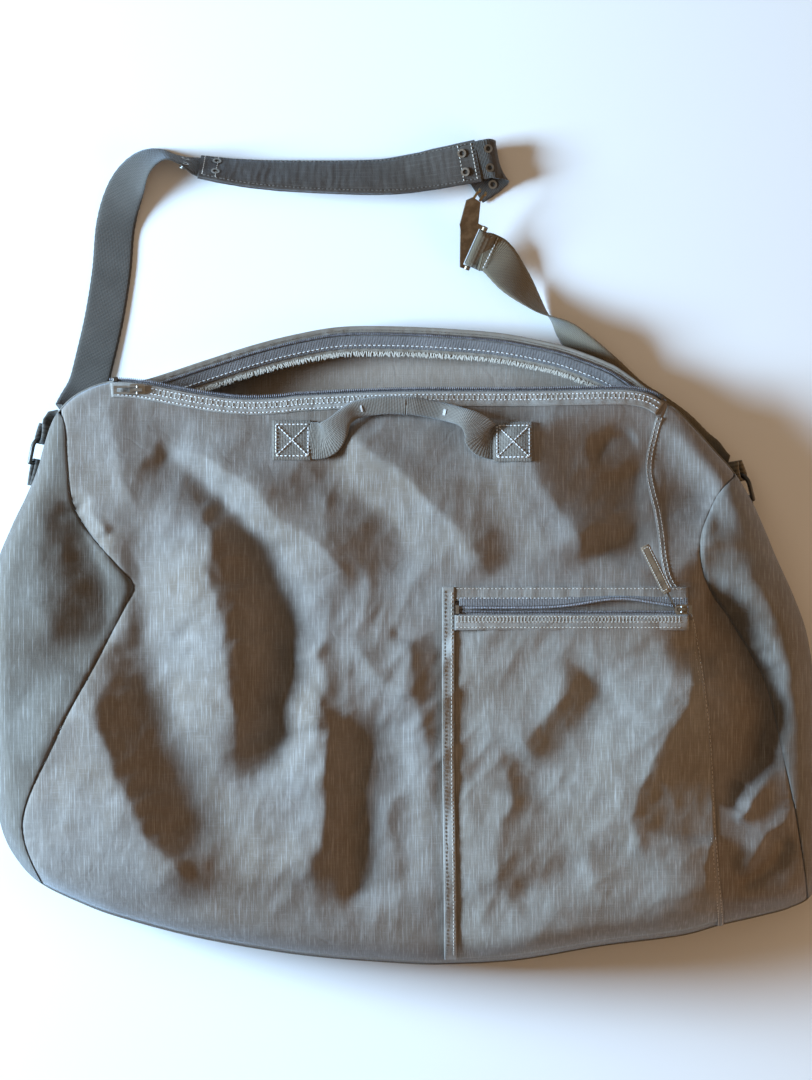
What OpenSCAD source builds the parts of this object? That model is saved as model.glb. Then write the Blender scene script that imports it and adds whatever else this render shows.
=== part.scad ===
// Canvas duffel bag with a shoulder strap, lying on its back on the floor.
// Millimetres. +Z up, +Y from the base towards the mouth, +X to the wearer's right.
// The origin is on the floor, under the middle of the back panel.

/* [Bag] */
// Overall width, end to end
bag_w = 800; // [770:5:820]
// Height from the middle of the base seam to the front hem of the mouth
bag_h = 546; // [530:2:560]
// Height of the flat crown of the front above the floor
crown_z = 128; // [120:1:140]
// Height of the seams that join the front to the ends
rim_z = 94; // [88:1:100]
// Height of the front hem of the mouth
hem_z = 68; // [62:1:74]
// Thickness of the canvas
canvas = 1.2; // [0.8:0.1:1.6]

/* [Webbing and strap] */
// Width of the webbing
web_w = 38; // [36:1:40]
// Thickness of the webbing
web_t = 2; // [1.6:0.1:2.2]
// Width of the shoulder pad
pad_w = 41; // [40:1:44]

/* [Pocket] */
// Height of the pocket zip above the origin
pocket_zip_y = 62; // [58:1:66]
// Depth of the space inside the pocket
pocket_gap = 7; // [6:0.5:9]

/* [Zips] */
// Radius of a zip coil
coil_r = 1.6; // [1.4:0.1:1.8]
// Width of a zip tape
tape_w = 13; // [12:0.5:14]

/* [Hidden] */

$fn = 48;
gap = 0.4;                      // sewing gap between neighbouring cloth pieces
half = bag_w / 2;
hem_y = bag_h / 2;
base_y = -bag_h / 2;
corner_rise = 50;               // how far the base corners sit above the middle of the base seam
slope_start_y = 98;             // the front falls from here towards the hem
side_run = 120;                 // run over which the front rises from the end seams to the crown
base_run = 70;                  // run over which the front rises from the base seam to the crown

mouth_left = [-0.72 * half, hem_y + 3];
mouth_right = [0.63 * half, hem_y - 3];
mouth_z = hem_z - 3;

// ---------------------------------------------------------------- helpers

function clamp(v, lo = 0, hi = 1) = min(max(v, lo), hi);
function lerp(a, b, k) = a + (b - a) * k;
function unit(v) = v / norm(v);
function steps(n) = [for (i = [0:n]) i / n];

// A smooth curve through control points of any length, for t from 0 to 1.
function spline(p, t) =
    let (n = len(p) - 1, i = min(floor(t * n), n - 1), f = t * n - i,
         a = p[max(i - 1, 0)], b = p[i], c = p[i + 1], d = p[min(i + 2, n)])
    (2 * b + (c - a) * f + (2 * a - 5 * b + 4 * c - d) * f * f + (3 * b - a - 3 * c + d) * f * f * f) / 2;

// A closed solid between two grids of points, row by row.
module sheet(outer, inner) {
    rows = len(outer);
    cols = len(outer[0]);
    count = rows * cols;
    function id(r, c, side) = side * count + r * cols + c;
    function quad(a, b, c, d) = [[a, b, c], [a, c, d]];
    skin = [for (r = [0:rows - 2], c = [0:cols - 2]) each concat(
        quad(id(r, c, 0), id(r + 1, c, 0), id(r + 1, c + 1, 0), id(r, c + 1, 0)),
        quad(id(r, c, 1), id(r, c + 1, 1), id(r + 1, c + 1, 1), id(r + 1, c, 1)))];
    ends = [for (c = [0:cols - 2]) each concat(
        quad(id(0, c, 0), id(0, c + 1, 0), id(0, c + 1, 1), id(0, c, 1)),
        quad(id(rows - 1, c + 1, 0), id(rows - 1, c, 0), id(rows - 1, c, 1), id(rows - 1, c + 1, 1)))];
    sides = [for (r = [0:rows - 2]) each concat(
        quad(id(r + 1, 0, 0), id(r, 0, 0), id(r, 0, 1), id(r + 1, 0, 1)),
        quad(id(r, cols - 1, 0), id(r + 1, cols - 1, 0), id(r + 1, cols - 1, 1), id(r, cols - 1, 1)))];
    polyhedron([for (g = [outer, inner], row = g) each row], concat(skin, ends, sides));
}

// Frame of a ribbon at t: [centre, across, face normal]. Each control is [x, y, z, across x, y, z].
function ribbon_frame(path, t) =
    let (p = spline(path, t),
         ahead = spline(path, min(t + 0.004, 1)), behind = spline(path, max(t - 0.004, 0)),
         run = unit([for (k = [0:2]) ahead[k] - behind[k]]),
         wide = [p[3], p[4], p[5]],
         across = unit(wide - (wide * run) * run))
    [[p[0], p[1], p[2]], across, cross(run, across)];

function ribbon_edge(f, w, n) = f[0] + f[1] * w + f[2] * n;

// Webbing of width w along a path from t0 to t1, filling heights n0 to n1 along its face normal.
module ribbon(path, w, n0, n1, t0 = 0, t1 = 1, n = 20) {
    frames = [for (k = steps(n)) ribbon_frame(path, lerp(t0, t1, k))];
    sheet([for (f = frames) [ribbon_edge(f, w / 2, n1), ribbon_edge(f, -w / 2, n1)]],
          [for (f = frames) [ribbon_edge(f, w / 2, n0), ribbon_edge(f, -w / 2, n0)]]);
}

// Children stand on a ribbon at t, side mm across it, with their +Z along its face normal.
module on_ribbon(path, t, side = 0) {
    f = ribbon_frame(path, t);
    c = f[0] + f[1] * side;
    run = cross(f[1], f[2]);
    multmatrix([[run.x, f[1].x, f[2].x, c.x], [run.y, f[1].y, f[2].y, c.y], [run.z, f[1].z, f[2].z, c.z],
                [0, 0, 0, 1]]) children();
}

// A flat plate with rounded corners, from (x0, y0) to (x1, y1), standing on z = 0.
module rounded_plate(x0, y0, x1, y1, r, t) {
    translate([x0 + r, y0, 0]) cube([x1 - x0 - 2 * r, y1 - y0, t]);
    translate([x0, y0 + r, 0]) cube([x1 - x0, y1 - y0 - 2 * r, t]);
    for (x = [x0 + r, x1 - r], y = [y0 + r, y1 - r]) translate([x, y, 0]) cylinder(r = r, h = t);
}

// Children stand at c with their +X along a, and +Y along b made square to it.
module oriented(c, a, b) {
    x = unit(a);
    y = unit(b - (b * x) * x);
    z = cross(x, y);
    multmatrix([[x.x, y.x, z.x, c.x], [x.y, y.y, z.y, c.y], [x.z, y.z, z.z, c.z], [0, 0, 0, 1]]) children();
}

// ---------------------------------------------------------------- the shape of the bag

// The middle of the base seam bows out below its corners.
function base_edge_y(x) = base_y + corner_rise * pow(x / (0.875 * half), 2);

// Height of the front's outer face.
function hem_share(y) = clamp((y - slope_start_y) / (hem_y - slope_start_y));
function front_z(x, y) =
    let (rim = lerp(rim_z, hem_z, hem_share(y)), crown = lerp(crown_z, hem_z, hem_share(y)),
         side = clamp(min(x + 0.86 * half, 0.93 * half - x) / side_run),
         base = clamp((y - base_edge_y(x)) / base_run))
    lerp(rim, crown, side * base);

// Edges of the front, from the base (t = 0) to the hem (t = 1), as a share of the half width.
left_seam = [-0.87, -0.88, -0.79, -0.72, -0.75, -0.8, -0.73];
felled_seam = [0.77, 0.75, 0.735, 0.7, 0.65, 0.6, 0.62];
right_seam = [0.94, 0.97, 0.9, 0.8, 0.75, 0.73, 0.66];

// Outline of the ends, from the base corner to the corner of the mouth, as [x, y] shares.
left_outline = [[-0.87, -0.76], [-0.985, -0.36], [-1, 0.1], [-0.93, 0.55], [-0.84, 0.9], [-0.73, 1]];
right_outline = [[0.94, -0.76], [1, -0.36], [0.98, 0], [0.885, 0.42], [0.775, 0.74], [0.66, 0.98]];

// Rows of the cloth follow the base seam over the base run, then spread out evenly to y_top.
function row_y(x, r, rows, y_top) =
    r <= 2 ? base_edge_y(x) + gap + r * base_run / 2
    : lerp(base_edge_y(x) + gap + base_run, y_top, (r - 2) / (rows - 2));

front_rows = 10;
front_top_y = hem_y - 5;
front_cols = [0, 0.1, 0.19, 0.3, 0.4, 0.5, 0.6, 0.7, 0.8, 0.915, 1];
strip_cols = [0, 0.5, 1];

module front_cloth(seam_a, seam_b, cols) {
    grid = [for (r = [0:front_rows])
        let (t = clamp((row_y(0, r, front_rows, front_top_y) - base_y) / bag_h))
        [for (s = cols) let (x = half * lerp(spline(seam_a, t), spline(seam_b, t), s) + lerp(gap, -gap, s),
            y = row_y(x, r, front_rows, front_top_y)) [x, y, front_z(x, y)]]];
    sheet(grid, [for (row = grid) [for (p = row) p - [0, 0, canvas]]]);
}

module front_panel() { color("dimgray") front_cloth(left_seam, felled_seam, front_cols); }
module side_strip() { color("dimgray") front_cloth(felled_seam, right_seam, strip_cols); }

// The ends rise from the floor, bulge out, and turn in to the seam with the front.
end_tuck = 40;                  // how far the floor seam sits inside the outline
yoke_share = 0.74;              // the yoke takes the part of each end above this share of its outline

function end_point(outline, seam, side, t, level, inset) =
    let (o = spline(outline, t), x = o.x * half, y = o.y * hem_y,
         tt = clamp((y - base_y) / bag_h),
         rim = lerp(rim_z, mouth_z, hem_share(y)),
         x_in = half * spline(seam, tt))
    level == 0 ? [x - side * (end_tuck + inset), lerp(y, 0, 0.03), 3]
    : level == 1 ? [x - side * inset, y, 0.48 * rim]
    : level == 2 ? [lerp(x, x_in, 0.35) - side * inset, y, rim - 8 - inset]
    : [x_in + side * 2, y, rim - 3.5 - inset];

module end_cloth(outline, seam, side, t0, t1, n) {
    function grid(inset) = [for (k = steps(n)) [for (level = [0:3])
        end_point(outline, seam, side, lerp(t0, t1, k), level, inset)]];
    if (side > 0) sheet(grid(0), grid(canvas));
    else sheet(grid(canvas), grid(0));
}

module end_panel_left() { color("gray") end_cloth(left_outline, left_seam, -1, 0.01, yoke_share, 10); }
module end_panel_right() { color("gray") end_cloth(right_outline, right_seam, 1, 0.01, yoke_share, 10); }
module end_yoke_left() {
    color("gray") end_cloth(left_outline, left_seam, -1, yoke_share + 0.004, 0.97, 4);
}
module end_yoke_right() {
    color("gray") end_cloth(right_outline, right_seam, 1, yoke_share + 0.004, 0.97, 4);
}

// The base is tucked in at the floor and meets the front at the base seam.
base_tuck = 24;

module base_panel() {
    function grid(inset) = [for (s = steps(14))
        let (x = half * lerp(-0.86, 0.93, s), y = base_edge_y(x),
             tuck = base_tuck * (1 - pow(2 * s - 1, 6)))
        [[x, y + tuck + inset, 3], [x, y + inset, 0.5 * rim_z], [x, y + inset, rim_z - 3 - inset]]];
    color("gray") sheet(grid(canvas), grid(0));
}

// ---------------------------------------------------------------- back panel and handles

// Handles: the same on the front and the back.
patch_x = 106;                  // from the middle to the centre of each sewn patch
patch_y = 227;
grip_rise = 34;                 // the grip arches this far up the bag from the patches
blister = 3.4;                  // the back panel stands off the floor this far over its handle
blister_w = 300;
blister_h = 76;

// The back panel lies on the floor inside the outline, and runs up under the arched back hem.
function back_point(s, t, z) =
    let (a = spline(left_outline, t), b = spline(right_outline, t), inset = end_tuck + 3, w = 2 * s - 1,
         x = lerp(a.x * half + inset, b.x * half - inset, s),
         y = 0.97 * hem_y * lerp(a.y, b.y, s)
             - 45 * (1 - w * w) * pow(1 - t, 2) + 46 * sqrt(max(0, 1 - w * w)) * t * t)
    [x, y, z];

module back_panel() {
    ts = steps(10);
    ss = steps(12);
    color("dimgray") difference() {
        union() {
            difference() {
                sheet([for (t = ts) [for (s = ss) back_point(s, t, canvas)]],
                      [for (t = ts) [for (s = ss) back_point(s, t, 0)]]);
                translate([-blister_w / 2, patch_y - blister_h / 2, -1])
                    cube([blister_w, blister_h, canvas + 2]);
            }
            translate([-blister_w / 2, patch_y - blister_h / 2, 0])
                cube([blister_w, blister_h, blister + canvas]);
        }
        translate([-blister_w / 2 + canvas, patch_y - blister_h / 2 + canvas, -1])
            cube([blister_w - 2 * canvas, blister_h - 2 * canvas, blister + 1]);
    }
}

front_slope = atan((crown_z - hem_z) / (hem_y - slope_start_y));

// Children stand on the front at y, with their +Z along its outward normal.
module on_front(y) { translate([0, y, front_z(0, y) + 0.3]) rotate([-front_slope, 0, 0]) children(); }

module patches() {
    for (side = [-1, 1]) translate([side * patch_x - web_w / 2, -web_w / 2, 0]) cube([web_w, web_w, web_t]);
}

// Tapered roots run inwards from the front patches to the necks of the grip.
module roots() {
    for (side = [-1, 1]) linear_extrude(web_t) polygon([for (p = [[patch_x - web_w / 2 - 0.2, -web_w / 2],
        [neck_x + 6, -8], [neck_x + 6, 9], [patch_x - web_w / 2 - 0.2, web_w / 2]]) [side * p.x, p.y]]);
}

// The folded grip hangs from narrow necks, and its middle stands off the cloth.
neck_x = 64;
neck_z = 5.6;
grip_path = [
    [-neck_x, 0, neck_z, 0, 1, 0.2], [-60, 0.42 * grip_rise, 11, -0.35, 1, 0.2],
    [-40, 0.86 * grip_rise, 16, -0.1, 1, 0.2], [0, grip_rise, 18, 0, 1, 0.2],
    [40, 0.86 * grip_rise, 16, 0.1, 1, 0.2], [60, 0.42 * grip_rise, 11, 0.35, 1, 0.2],
    [neck_x, 0, neck_z, 0, 1, 0.2]];

module grip() {
    ks = steps(24);
    function full(t) = clamp(3.2 * sin(180 * t));
    function half_w(t) = lerp(3.6, 10, full(t));
    function thick(t) = lerp(5, 8, full(t));
    function row(t, up) = let (f = ribbon_frame(grip_path, t), n = (up - 0.5) * thick(t))
        [ribbon_edge(f, half_w(t), n), ribbon_edge(f, -half_w(t), n)];
    sheet([for (t = ks) row(t, 1)], [for (t = ks) row(t, 0)]);
}

module front_handle_patches() { color("darkgray") on_front(patch_y) { patches(); roots(); } }
module front_handle_grip() { color("darkgray") on_front(patch_y) grip(); }
module back_handle_patches() { color("darkgray") translate([0, patch_y, 0.5]) patches(); }
module back_handle_grip() {
    back_grip_x = patch_x - web_w / 2 - 1;
    color("darkgray") translate([-back_grip_x, patch_y - web_w / 2, 0.6])
        cube([2 * back_grip_x, web_w, web_t]);
}

// ---------------------------------------------------------------- the mouth and its zip

slider_len = 15;
zip_x0 = mouth_left.x + 22;     // left end of the straight run that the slider travels
zip_x1 = mouth_right.x - 8;

module front_hem_band() {
    color("gray") translate([0, hem_y - 14, front_z(0, hem_y - 14) + 0.3]) rotate([-front_slope, 0, 0])
        translate([zip_x0, 0, 0]) cube([zip_x1 - zip_x0, 11, 1]);
}

coil_y = hem_y + 3;
coil_z = hem_z + 0.4;
tape_hem = 1.8;                 // the tape starts this far inside the coil's axis
module front_zip_tape() {
    color("slategray") translate([zip_x0, coil_y - tape_hem - tape_w, coil_z - 1.1])
        cube([zip_x1 - zip_x0, tape_w, 0.8]);
}
module front_zip_coil() {
    color("darkslategray") translate([zip_x0, coil_y, coil_z]) rotate([0, 90, 0])
        cylinder(r = coil_r, h = zip_x1 - zip_x0);
}

// The back hem arches from corner to corner, and dips towards the floor in the middle.
back_arch = [
    [zip_x0 - 2, hem_y + 13, mouth_z - 8], [-0.5 * half, hem_y + 33, 46], [-0.3 * half, hem_y + 53, 31],
    [-0.1 * half, hem_y + 63, 26], [0.1 * half, hem_y + 63, 26], [0.3 * half, hem_y + 51, 31],
    [0.48 * half, hem_y + 29, 44], [zip_x1 - 14, hem_y + 11, mouth_z - 8]];
function arch_path(inward, up) = [for (p = back_arch)
    let (lean = unit([0.25 * (p.x + 20) / half, 1, 0])) [
        p.x - lean.x * inward, p.y - lean.y * inward, p.z + up, lean.x, lean.y, -0.25]];

module back_hem_band() { color("gray") ribbon(arch_path(14, -2.6), 30, -0.6, 0.6, 0.01, 0.99, 26); }
module back_zip_tape() {
    color("slategray") ribbon(arch_path(17, -0.6), tape_w, -0.4, 0.4, 0.02, 0.98, 26);
}
module back_zip_coil() {
    color("darkslategray") ribbon(arch_path(8, 0.4), 2 * coil_r, -1.2, 1.2, 0.02, 0.98, 26);
}

// Metal stops close the front coil at both ends.
module main_zip_stops() {
    color("dimgray") for (x = [zip_x0 - 4.4, zip_x1 + 0.4])
        translate([x, coil_y - 2.2, coil_z - 1.6]) cube([4, 4.4, 3.2]);
}

// A slider straddles its coil: two plates joined by a post behind the coil, and a bridge for the pull.
module slider_body(len) {
    plate_t = 1.4;
    channel = 2 * coil_r + 0.6;
    for (z = [-channel / 2 - plate_t, channel / 2])
        translate([0, 0, z]) rounded_plate(-len / 2, -4.2, len / 2, 6, 1.6, plate_t);
    translate([-len / 4, 3.2, -channel / 2]) cube([len / 2, 2, channel]);
    translate([0, 0, channel / 2 + plate_t]) difference() {
        translate([-4.5, -1.5, 0]) cube([9, 3, 5]);
        translate([0, 0, 2.4]) rotate([90, 0, 0]) cylinder(r = 1.3, h = 8, center = true);
    }
}
bridge_z = coil_r + 0.3 + 1.4 + 2.4;    // the pull's pin, above the coil's axis

// A pull: an eye round the pin in the bridge, and a tongue that trails along -X.
module pull(len, w) {
    rotate([90, 0, 0]) cylinder(r = 1.1, h = w - 1, center = true);
    for (side = [-1, 1]) translate([0, side * (w / 2 - 1), 0]) {
        rotate([90, 0, 0]) cylinder(r = 1.6, h = 2, center = true);
        translate([-len, -1, -1]) cube([len, 2, 2]);
    }
    translate([-len - 3, -w / 2, -1]) cube([3.2, w, 2]);
}

main_park_x = zip_x0 + slider_len / 2;
module main_slider() { color("dimgray") translate([main_park_x, coil_y, coil_z]) slider_body(slider_len); }
module main_pull() { color("gray") translate([main_park_x, coil_y, coil_z + bridge_z]) pull(20, 8); }

// ---------------------------------------------------------------- pocket

pocket_x0 = 35;
pocket_x1 = 0.69 * half;        // the pocket's right edge is caught in the felled seam
pocket_lift = pocket_gap + canvas;
pocket_rows = 4;
pocket_top_y = pocket_zip_y - 9;
pocket_coil_x0 = pocket_x0 + 16;
pocket_coil_x1 = pocket_x1 - 6;
pocket_coil_z = crown_z + pocket_lift + 1.2;

module pocket_panel() {
    function pocket_right(r) = half * lerp(0.755, 0.69, r / pocket_rows);
    grid = [for (r = [0:pocket_rows]) [for (s = [0, 0.25, 0.5, 0.8, 1])
        let (x = lerp(pocket_x0 + 11.5, pocket_right(r), s), y = row_y(x, r, pocket_rows, pocket_top_y))
        [x, y, front_z(x, y) + pocket_lift]]];
    color("dimgray") sheet(grid, [for (row = grid) [for (p = row) p - [0, 0, canvas]]]);
}

// A sewn band closes the pocket's left side.
module pocket_binding() {
    function row(r, up) = [for (x = [pocket_x0, pocket_x0 + 11])
        let (y = row_y(x, r, pocket_rows, pocket_zip_y + 17)) [x, y, front_z(x, y) + up]];
    color("gray") sheet([for (r = [0:pocket_rows]) row(r, pocket_lift + 0.6)],
                        [for (r = [0:pocket_rows]) row(r, 0.5)]);
}

// The facing above the zip is sewn flat to the front at its top edge.
module pocket_facing() {
    color("gray") translate([pocket_x0 + 11.5, pocket_zip_y + 7, crown_z + 0.4])
        cube([pocket_x1 - pocket_x0 - 12, 16, pocket_lift - 0.6]);
}
module pocket_tape_upper() {
    color("slategray") translate([pocket_coil_x0, pocket_zip_y + 3.6, pocket_coil_z - 1.2])
        cube([pocket_coil_x1 - pocket_coil_x0, 9, 0.7]);
}
module pocket_tape_lower() {
    color("slategray") translate([pocket_coil_x0, pocket_zip_y - 12.6, pocket_coil_z - 0.9])
        cube([pocket_coil_x1 - pocket_coil_x0, 9, 0.7]);
}
module pocket_coil(y) {
    color("darkslategray") translate([pocket_coil_x0, y, pocket_coil_z])
        rotate([0, 90, 0]) cylinder(r = coil_r - 0.2, h = pocket_coil_x1 - pocket_coil_x0);
}
module pocket_coil_upper() { pocket_coil(pocket_zip_y + 1.9); }
module pocket_coil_lower() { pocket_coil(pocket_zip_y - 1.9); }
module pocket_zip_stops() {
    color("dimgray") for (x = [pocket_coil_x0 - 3.6, pocket_coil_x1 + 0.4])
        translate([x, pocket_zip_y - 4, pocket_coil_z - 1.4]) cube([3.2, 8, 2.8]);
}

// The pocket slider covers both coils, with a post between them and a bridge on top.
pocket_slider_len = 11;
pocket_park_x = pocket_coil_x1 - pocket_slider_len / 2 - 0.5;
pocket_plate_z = coil_r + 0.3;
module pocket_slider() {
    color("darkgoldenrod") translate([pocket_park_x, pocket_zip_y, pocket_coil_z]) {
        translate([0, 0, pocket_plate_z])
            rounded_plate(-pocket_slider_len / 2, -4.7, pocket_slider_len / 2, 4.7, 1.2, 1.3);
        translate([0, 0, pocket_plate_z + 1.3]) difference() {
            translate([-3.5, -1.25, -0.1]) cube([7, 2.5, 4]);
            translate([0, 0, 1.9]) rotate([90, 0, 0]) cylinder(r = 1.1, h = 8, center = true);
        }
        translate([-2.5, -0.25, -1.2]) cube([5, 0.5, pocket_plate_z + 1.3]);
    }
}

// The pull link turns in the bridge. A sewn tab hangs from its far end.
pocket_pin_z = pocket_coil_z + pocket_plate_z + 1.3 + 1.9;
tab_angle = 116;                // direction of the tab, anticlockwise from +X
yoke_x = 6;                     // from the pin to the crossbar of the link
link_len = 20;
tab_len = 48;
tab_w = 9.5;
module along_tab(distance) {
    translate([pocket_park_x - yoke_x, pocket_zip_y, pocket_pin_z]) rotate([0, 0, tab_angle])
        translate([distance, 0, 0]) children();
}
module pocket_pull_link() {
    color("dimgray") {
        translate([pocket_park_x, pocket_zip_y, pocket_pin_z]) {
            rotate([90, 0, 0]) cylinder(r = 0.9, h = 6.4, center = true);
            for (side = [-1, 1]) translate([0, side * 2.5, 0]) {
                rotate([90, 0, 0]) cylinder(r = 1.5, h = 1.4, center = true);
                translate([-yoke_x, -0.7, -0.8]) cube([yoke_x, 1.4, 1.6]);
            }
            translate([-yoke_x - 0.8, -3.2, -0.8]) cube([1.8, 6.4, 1.6]);
        }
        along_tab(0) translate([0, -1, -0.7]) cube([link_len, 2, 1.4]);
        along_tab(link_len) rotate([90, 0, 0]) cylinder(r = 1.2, h = 8.4, center = true);
    }
}
module pocket_pull_tab() {
    color("saddlebrown") along_tab(link_len) difference() {
        translate([-2.8, -tab_w / 2, -1.9]) cube([tab_len + 2.8, tab_w, 3.8]);
        rotate([90, 0, 0]) cylinder(r = 1.25, h = tab_w + 2, center = true);
        translate([-4, -3.2, -3]) cube([5.5, 6.4, 6]);
    }
}

// ---------------------------------------------------------------- rings, strap and buckle

// Each ring lies against the lower slope of its end, pointing to the mouth.
ring_wire = 2.1;
ring_w = web_w + 2;             // clear width inside the ring
ring_len = 25;                  // from the straight bar to the top of the bow

// A D-shaped wire ring. Its straight bar is the hinge axis, along X, and the bow points along +Y.
module d_ring() {
    bow = ring_w / 2 + ring_wire;
    color("black") {
        rotate([0, 90, 0]) cylinder(r = ring_wire, h = 2 * bow, center = true);
        for (side = [-1, 1]) translate([side * bow, 0, 0]) {
            sphere(r = ring_wire);
            rotate([-90, 0, 0]) cylinder(r = ring_wire, h = ring_len - 10);
            translate([-side * 10, ring_len - 10, 0]) rotate([0, 0, side > 0 ? 0 : 90])
                rotate_extrude(angle = 90) translate([10, 0]) circle(r = ring_wire);
        }
        translate([0, ring_len, 0]) rotate([0, 90, 0])
            cylinder(r = ring_wire, h = 2 * (bow - 10), center = true);
    }
}
ring_at = [0.705, 0.72];        // where each ring sits along the outline of its end
ring_off = 10.5;                // from the cloth to the middle of the wire
function wall_point(i, t, level) = i == 0 ? end_point(left_outline, left_seam, -1, t, level, 0)
    : end_point(right_outline, right_seam, 1, t, level, 0);
ring_up = [for (i = [0, 1]) unit(wall_point(i, ring_at[i], 1) - wall_point(i, ring_at[i], 0))];
ring_along = [for (i = [0, 1])
    let (d = wall_point(i, ring_at[i] + 0.05, 1) - wall_point(i, ring_at[i] - 0.05, 1))
    unit(d - (d * ring_up[i]) * ring_up[i])];
ring_out = [for (i = [0, 1]) cross(ring_up[i], ring_along[i]) * (i == 0 ? 1 : -1)];
ring_pos = [for (i = [0, 1]) let (foot = wall_point(i, ring_at[i], 0) + ring_off * ring_out[i],
    rise = (ring_wire + 0.4 + (ring_w / 2 + ring_wire) * ring_up[i].z - foot.z) / ring_up[i].z)
    foot + rise * ring_up[i]];
function ring_point(i, distance) = ring_pos[i] + distance * ring_along[i];
module at_ring(i) { oriented(ring_pos[i], ring_up[i], ring_along[i]) children(); }
module d_ring_left() { at_ring(0) d_ring(); }
module d_ring_right() { at_ring(1) d_ring(); }

// A flat webbing loop round a bar that lies along X at the origin. Its tails run along -Y.
module web_loop(w, clear, tail) {
    translate([-w / 2, 0, 0]) rotate([90, 0, 90]) linear_extrude(w) {
        difference() {
            circle(r = clear + web_t);
            circle(r = clear);
            translate([-2 * clear - 20, -clear - 10]) square([2 * clear + 20, 2 * clear + 20]);
        }
        for (up = [-clear - web_t, clear]) translate([-tail, up]) square([tail + 0.01, web_t]);
        translate([-tail, -clear - 0.5]) square([0.35 * tail, 2 * clear + 1]);
    }
}
tab_clear = ring_wire + 0.5;
module ring_tab_left() { color("darkgray") at_ring(0) web_loop(web_w - 3, tab_clear, 22); }
module ring_tab_right() { color("darkgray") at_ring(1) web_loop(web_w - 3, tab_clear, 22); }

// The strap's sewn loop goes round the bow of each ring, with room for the ring to rock.
root_clear = ring_wire + 2.6;
loop_tail = 17;
module strap_loop(i) {
    at_ring(i) translate([0, ring_len, 0]) rotate([0, 0, 180]) web_loop(web_w - 3, root_clear, loop_tail);
}
function root_start(i) =
    let (c = ring_point(i, ring_len + loop_tail - 3), a = ring_up[i]) [c.x, c.y, c.z, a.x, a.y, a.z];
module strap_root_left() {
    color("slategray") {
        strap_loop(0);
        ribbon(root_path_left, web_w - 0.4, -1, 1, 0, 1, 14);
    }
}
module strap_root_right() {
    color("slategray") {
        strap_loop(1);
        ribbon(root_path_right, web_w - 0.4, -1, 1, 0, 1, 22);
    }
}

// Strap paths. The lower legs stay under the shoulders of the bag, and the rest can be lifted.
root_path_left = [
    root_start(0), [-330, 248, 17.5, -0.7, 0.1, 0.7], [-319, 264, 10, -0.94, 0.05, 0.34],
    [-309.5, 282, 3.6, -1, -0.1, 0.03], [-309, 296, 3, -1, -0.05, 0]];
left_leg = [
    [-309, 304, 3, -1, -0.05, 0], [-307.2, 311, 3, -1, -0.2, 0], [-291, 352, 2.2, -1, -0.15, 0],
    [-284, 395, 2.2, -1, -0.05, 0], [-281, 440, 2.5, -1, 0.1, -0.05], [-270, 477, 9, -0.9, 0.5, -0.35],
    [-252, 501, 16, -0.5, 0.5, -1], [-232, 503, 21, -0.1, 0.2, -1], [-205, 496, 20, -0.1, 0.5, -1]];
pad_path = [
    [-202, 495, 20.5, -0.1, 0.6, -0.9], [-158, 489, 20, 0, 0.7, -0.8], [-107, 486, 19, 0, 0.8, -0.7],
    [-36, 485, 17.5, 0, 0.9, -0.6], [0, 488, 17, -0.1, 0.95, -0.45], [34, 494, 19, -0.15, 1, -0.25],
    [70, 501, 23, -0.18, 1, -0.05]];
tail_path = [
    [74, 501.8, 23.4, -0.18, 1, 0], [80.5, 503, 23.4, -0.2, 1, 0], [87, 502, 19.5, -0.22, 1, 0],
    [89.5, 500, 12.5, -0.25, 1, 0], [87, 495, 5.6, -0.35, 1, 0.05], [79, 487, 2.7, -0.45, 1, 0.03],
    [64, 477, 2.3, -0.6, 1, 0]];
root_path_right = [
    root_start(1), [271, 262, 22, 0.35, 0.3, 0.9], [252, 284, 20.5, 0.25, 0.4, 1],
    [222, 308, 20, 0.3, 0.5, 1], [182, 323, 19.3, 0.35, 0.5, 0.85], [154, 338, 19.3, 0.25, 0.3, 1],
    [142.4, 346.8, 19.5, 0, 0, 1]];
right_leg = [
    [84.6, 409.4, 14, 0.4, 0.86, 0.3], [104, 386, 17, 0.5, 0.6, 0.55], [126, 361, 19.3, 0.2, 0.25, 1],
    [138.6, 350.4, 19.5, 0, 0, 1]];
pad_ply = 1.4;
foam_t = 4;
web_n = [-1, 1];                 // webbing heights along the face normal
pad_eyelet_t = [0.08, 0.925];
tail_eyelet_t = [0.15, 0.84];
eyelet_side = 9.3;
eyelet_r = 2.4;

module eyelet_holes(path, ts) {
    for (t = ts, side = [-1, 1]) on_ribbon(path, t, side * eyelet_side)
        cylinder(r = eyelet_r + 1.15, h = 12, center = true);
}
module punched(path, ts) { difference() { children(); eyelet_holes(path, ts); } }

module strap_web_left() {
    color("slategray") {
        punched(left_leg, [0.95]) ribbon(left_leg, web_w, web_n[0], web_n[1], 0, 0.995, 40);
    }
}
module strap_web_right() {
    color("slategray") {
        ribbon(right_leg, web_w, web_n[0], web_n[1], 0, 1, 22);
        at_buckle() web_loop(web_w - 0.6, buckle_bar_r + 0.5, buckle_tail);
    }
}
module strap_tail() {
    color("slategray") punched(tail_path, tail_eyelet_t)
        ribbon(tail_path, web_w, web_n[0], web_n[1], 0, 1, 30);
}
module pad_cover_top() {
    color("dimgray") punched(pad_path, pad_eyelet_t)
        ribbon(pad_path, pad_w, foam_t / 2 + 0.3, foam_t / 2 + pad_ply, 0, 1, 30);
}
module pad_foam() {
    color("gainsboro") punched(pad_path, pad_eyelet_t)
        ribbon(pad_path, pad_w - 5, -foam_t / 2, foam_t / 2, 0, 1, 30);
}
module pad_cover_under() {
    color("dimgray") punched(pad_path, pad_eyelet_t)
        ribbon(pad_path, pad_w, -foam_t / 2 - pad_ply, -foam_t / 2 - 0.3, 0, 1, 30);
}

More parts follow.
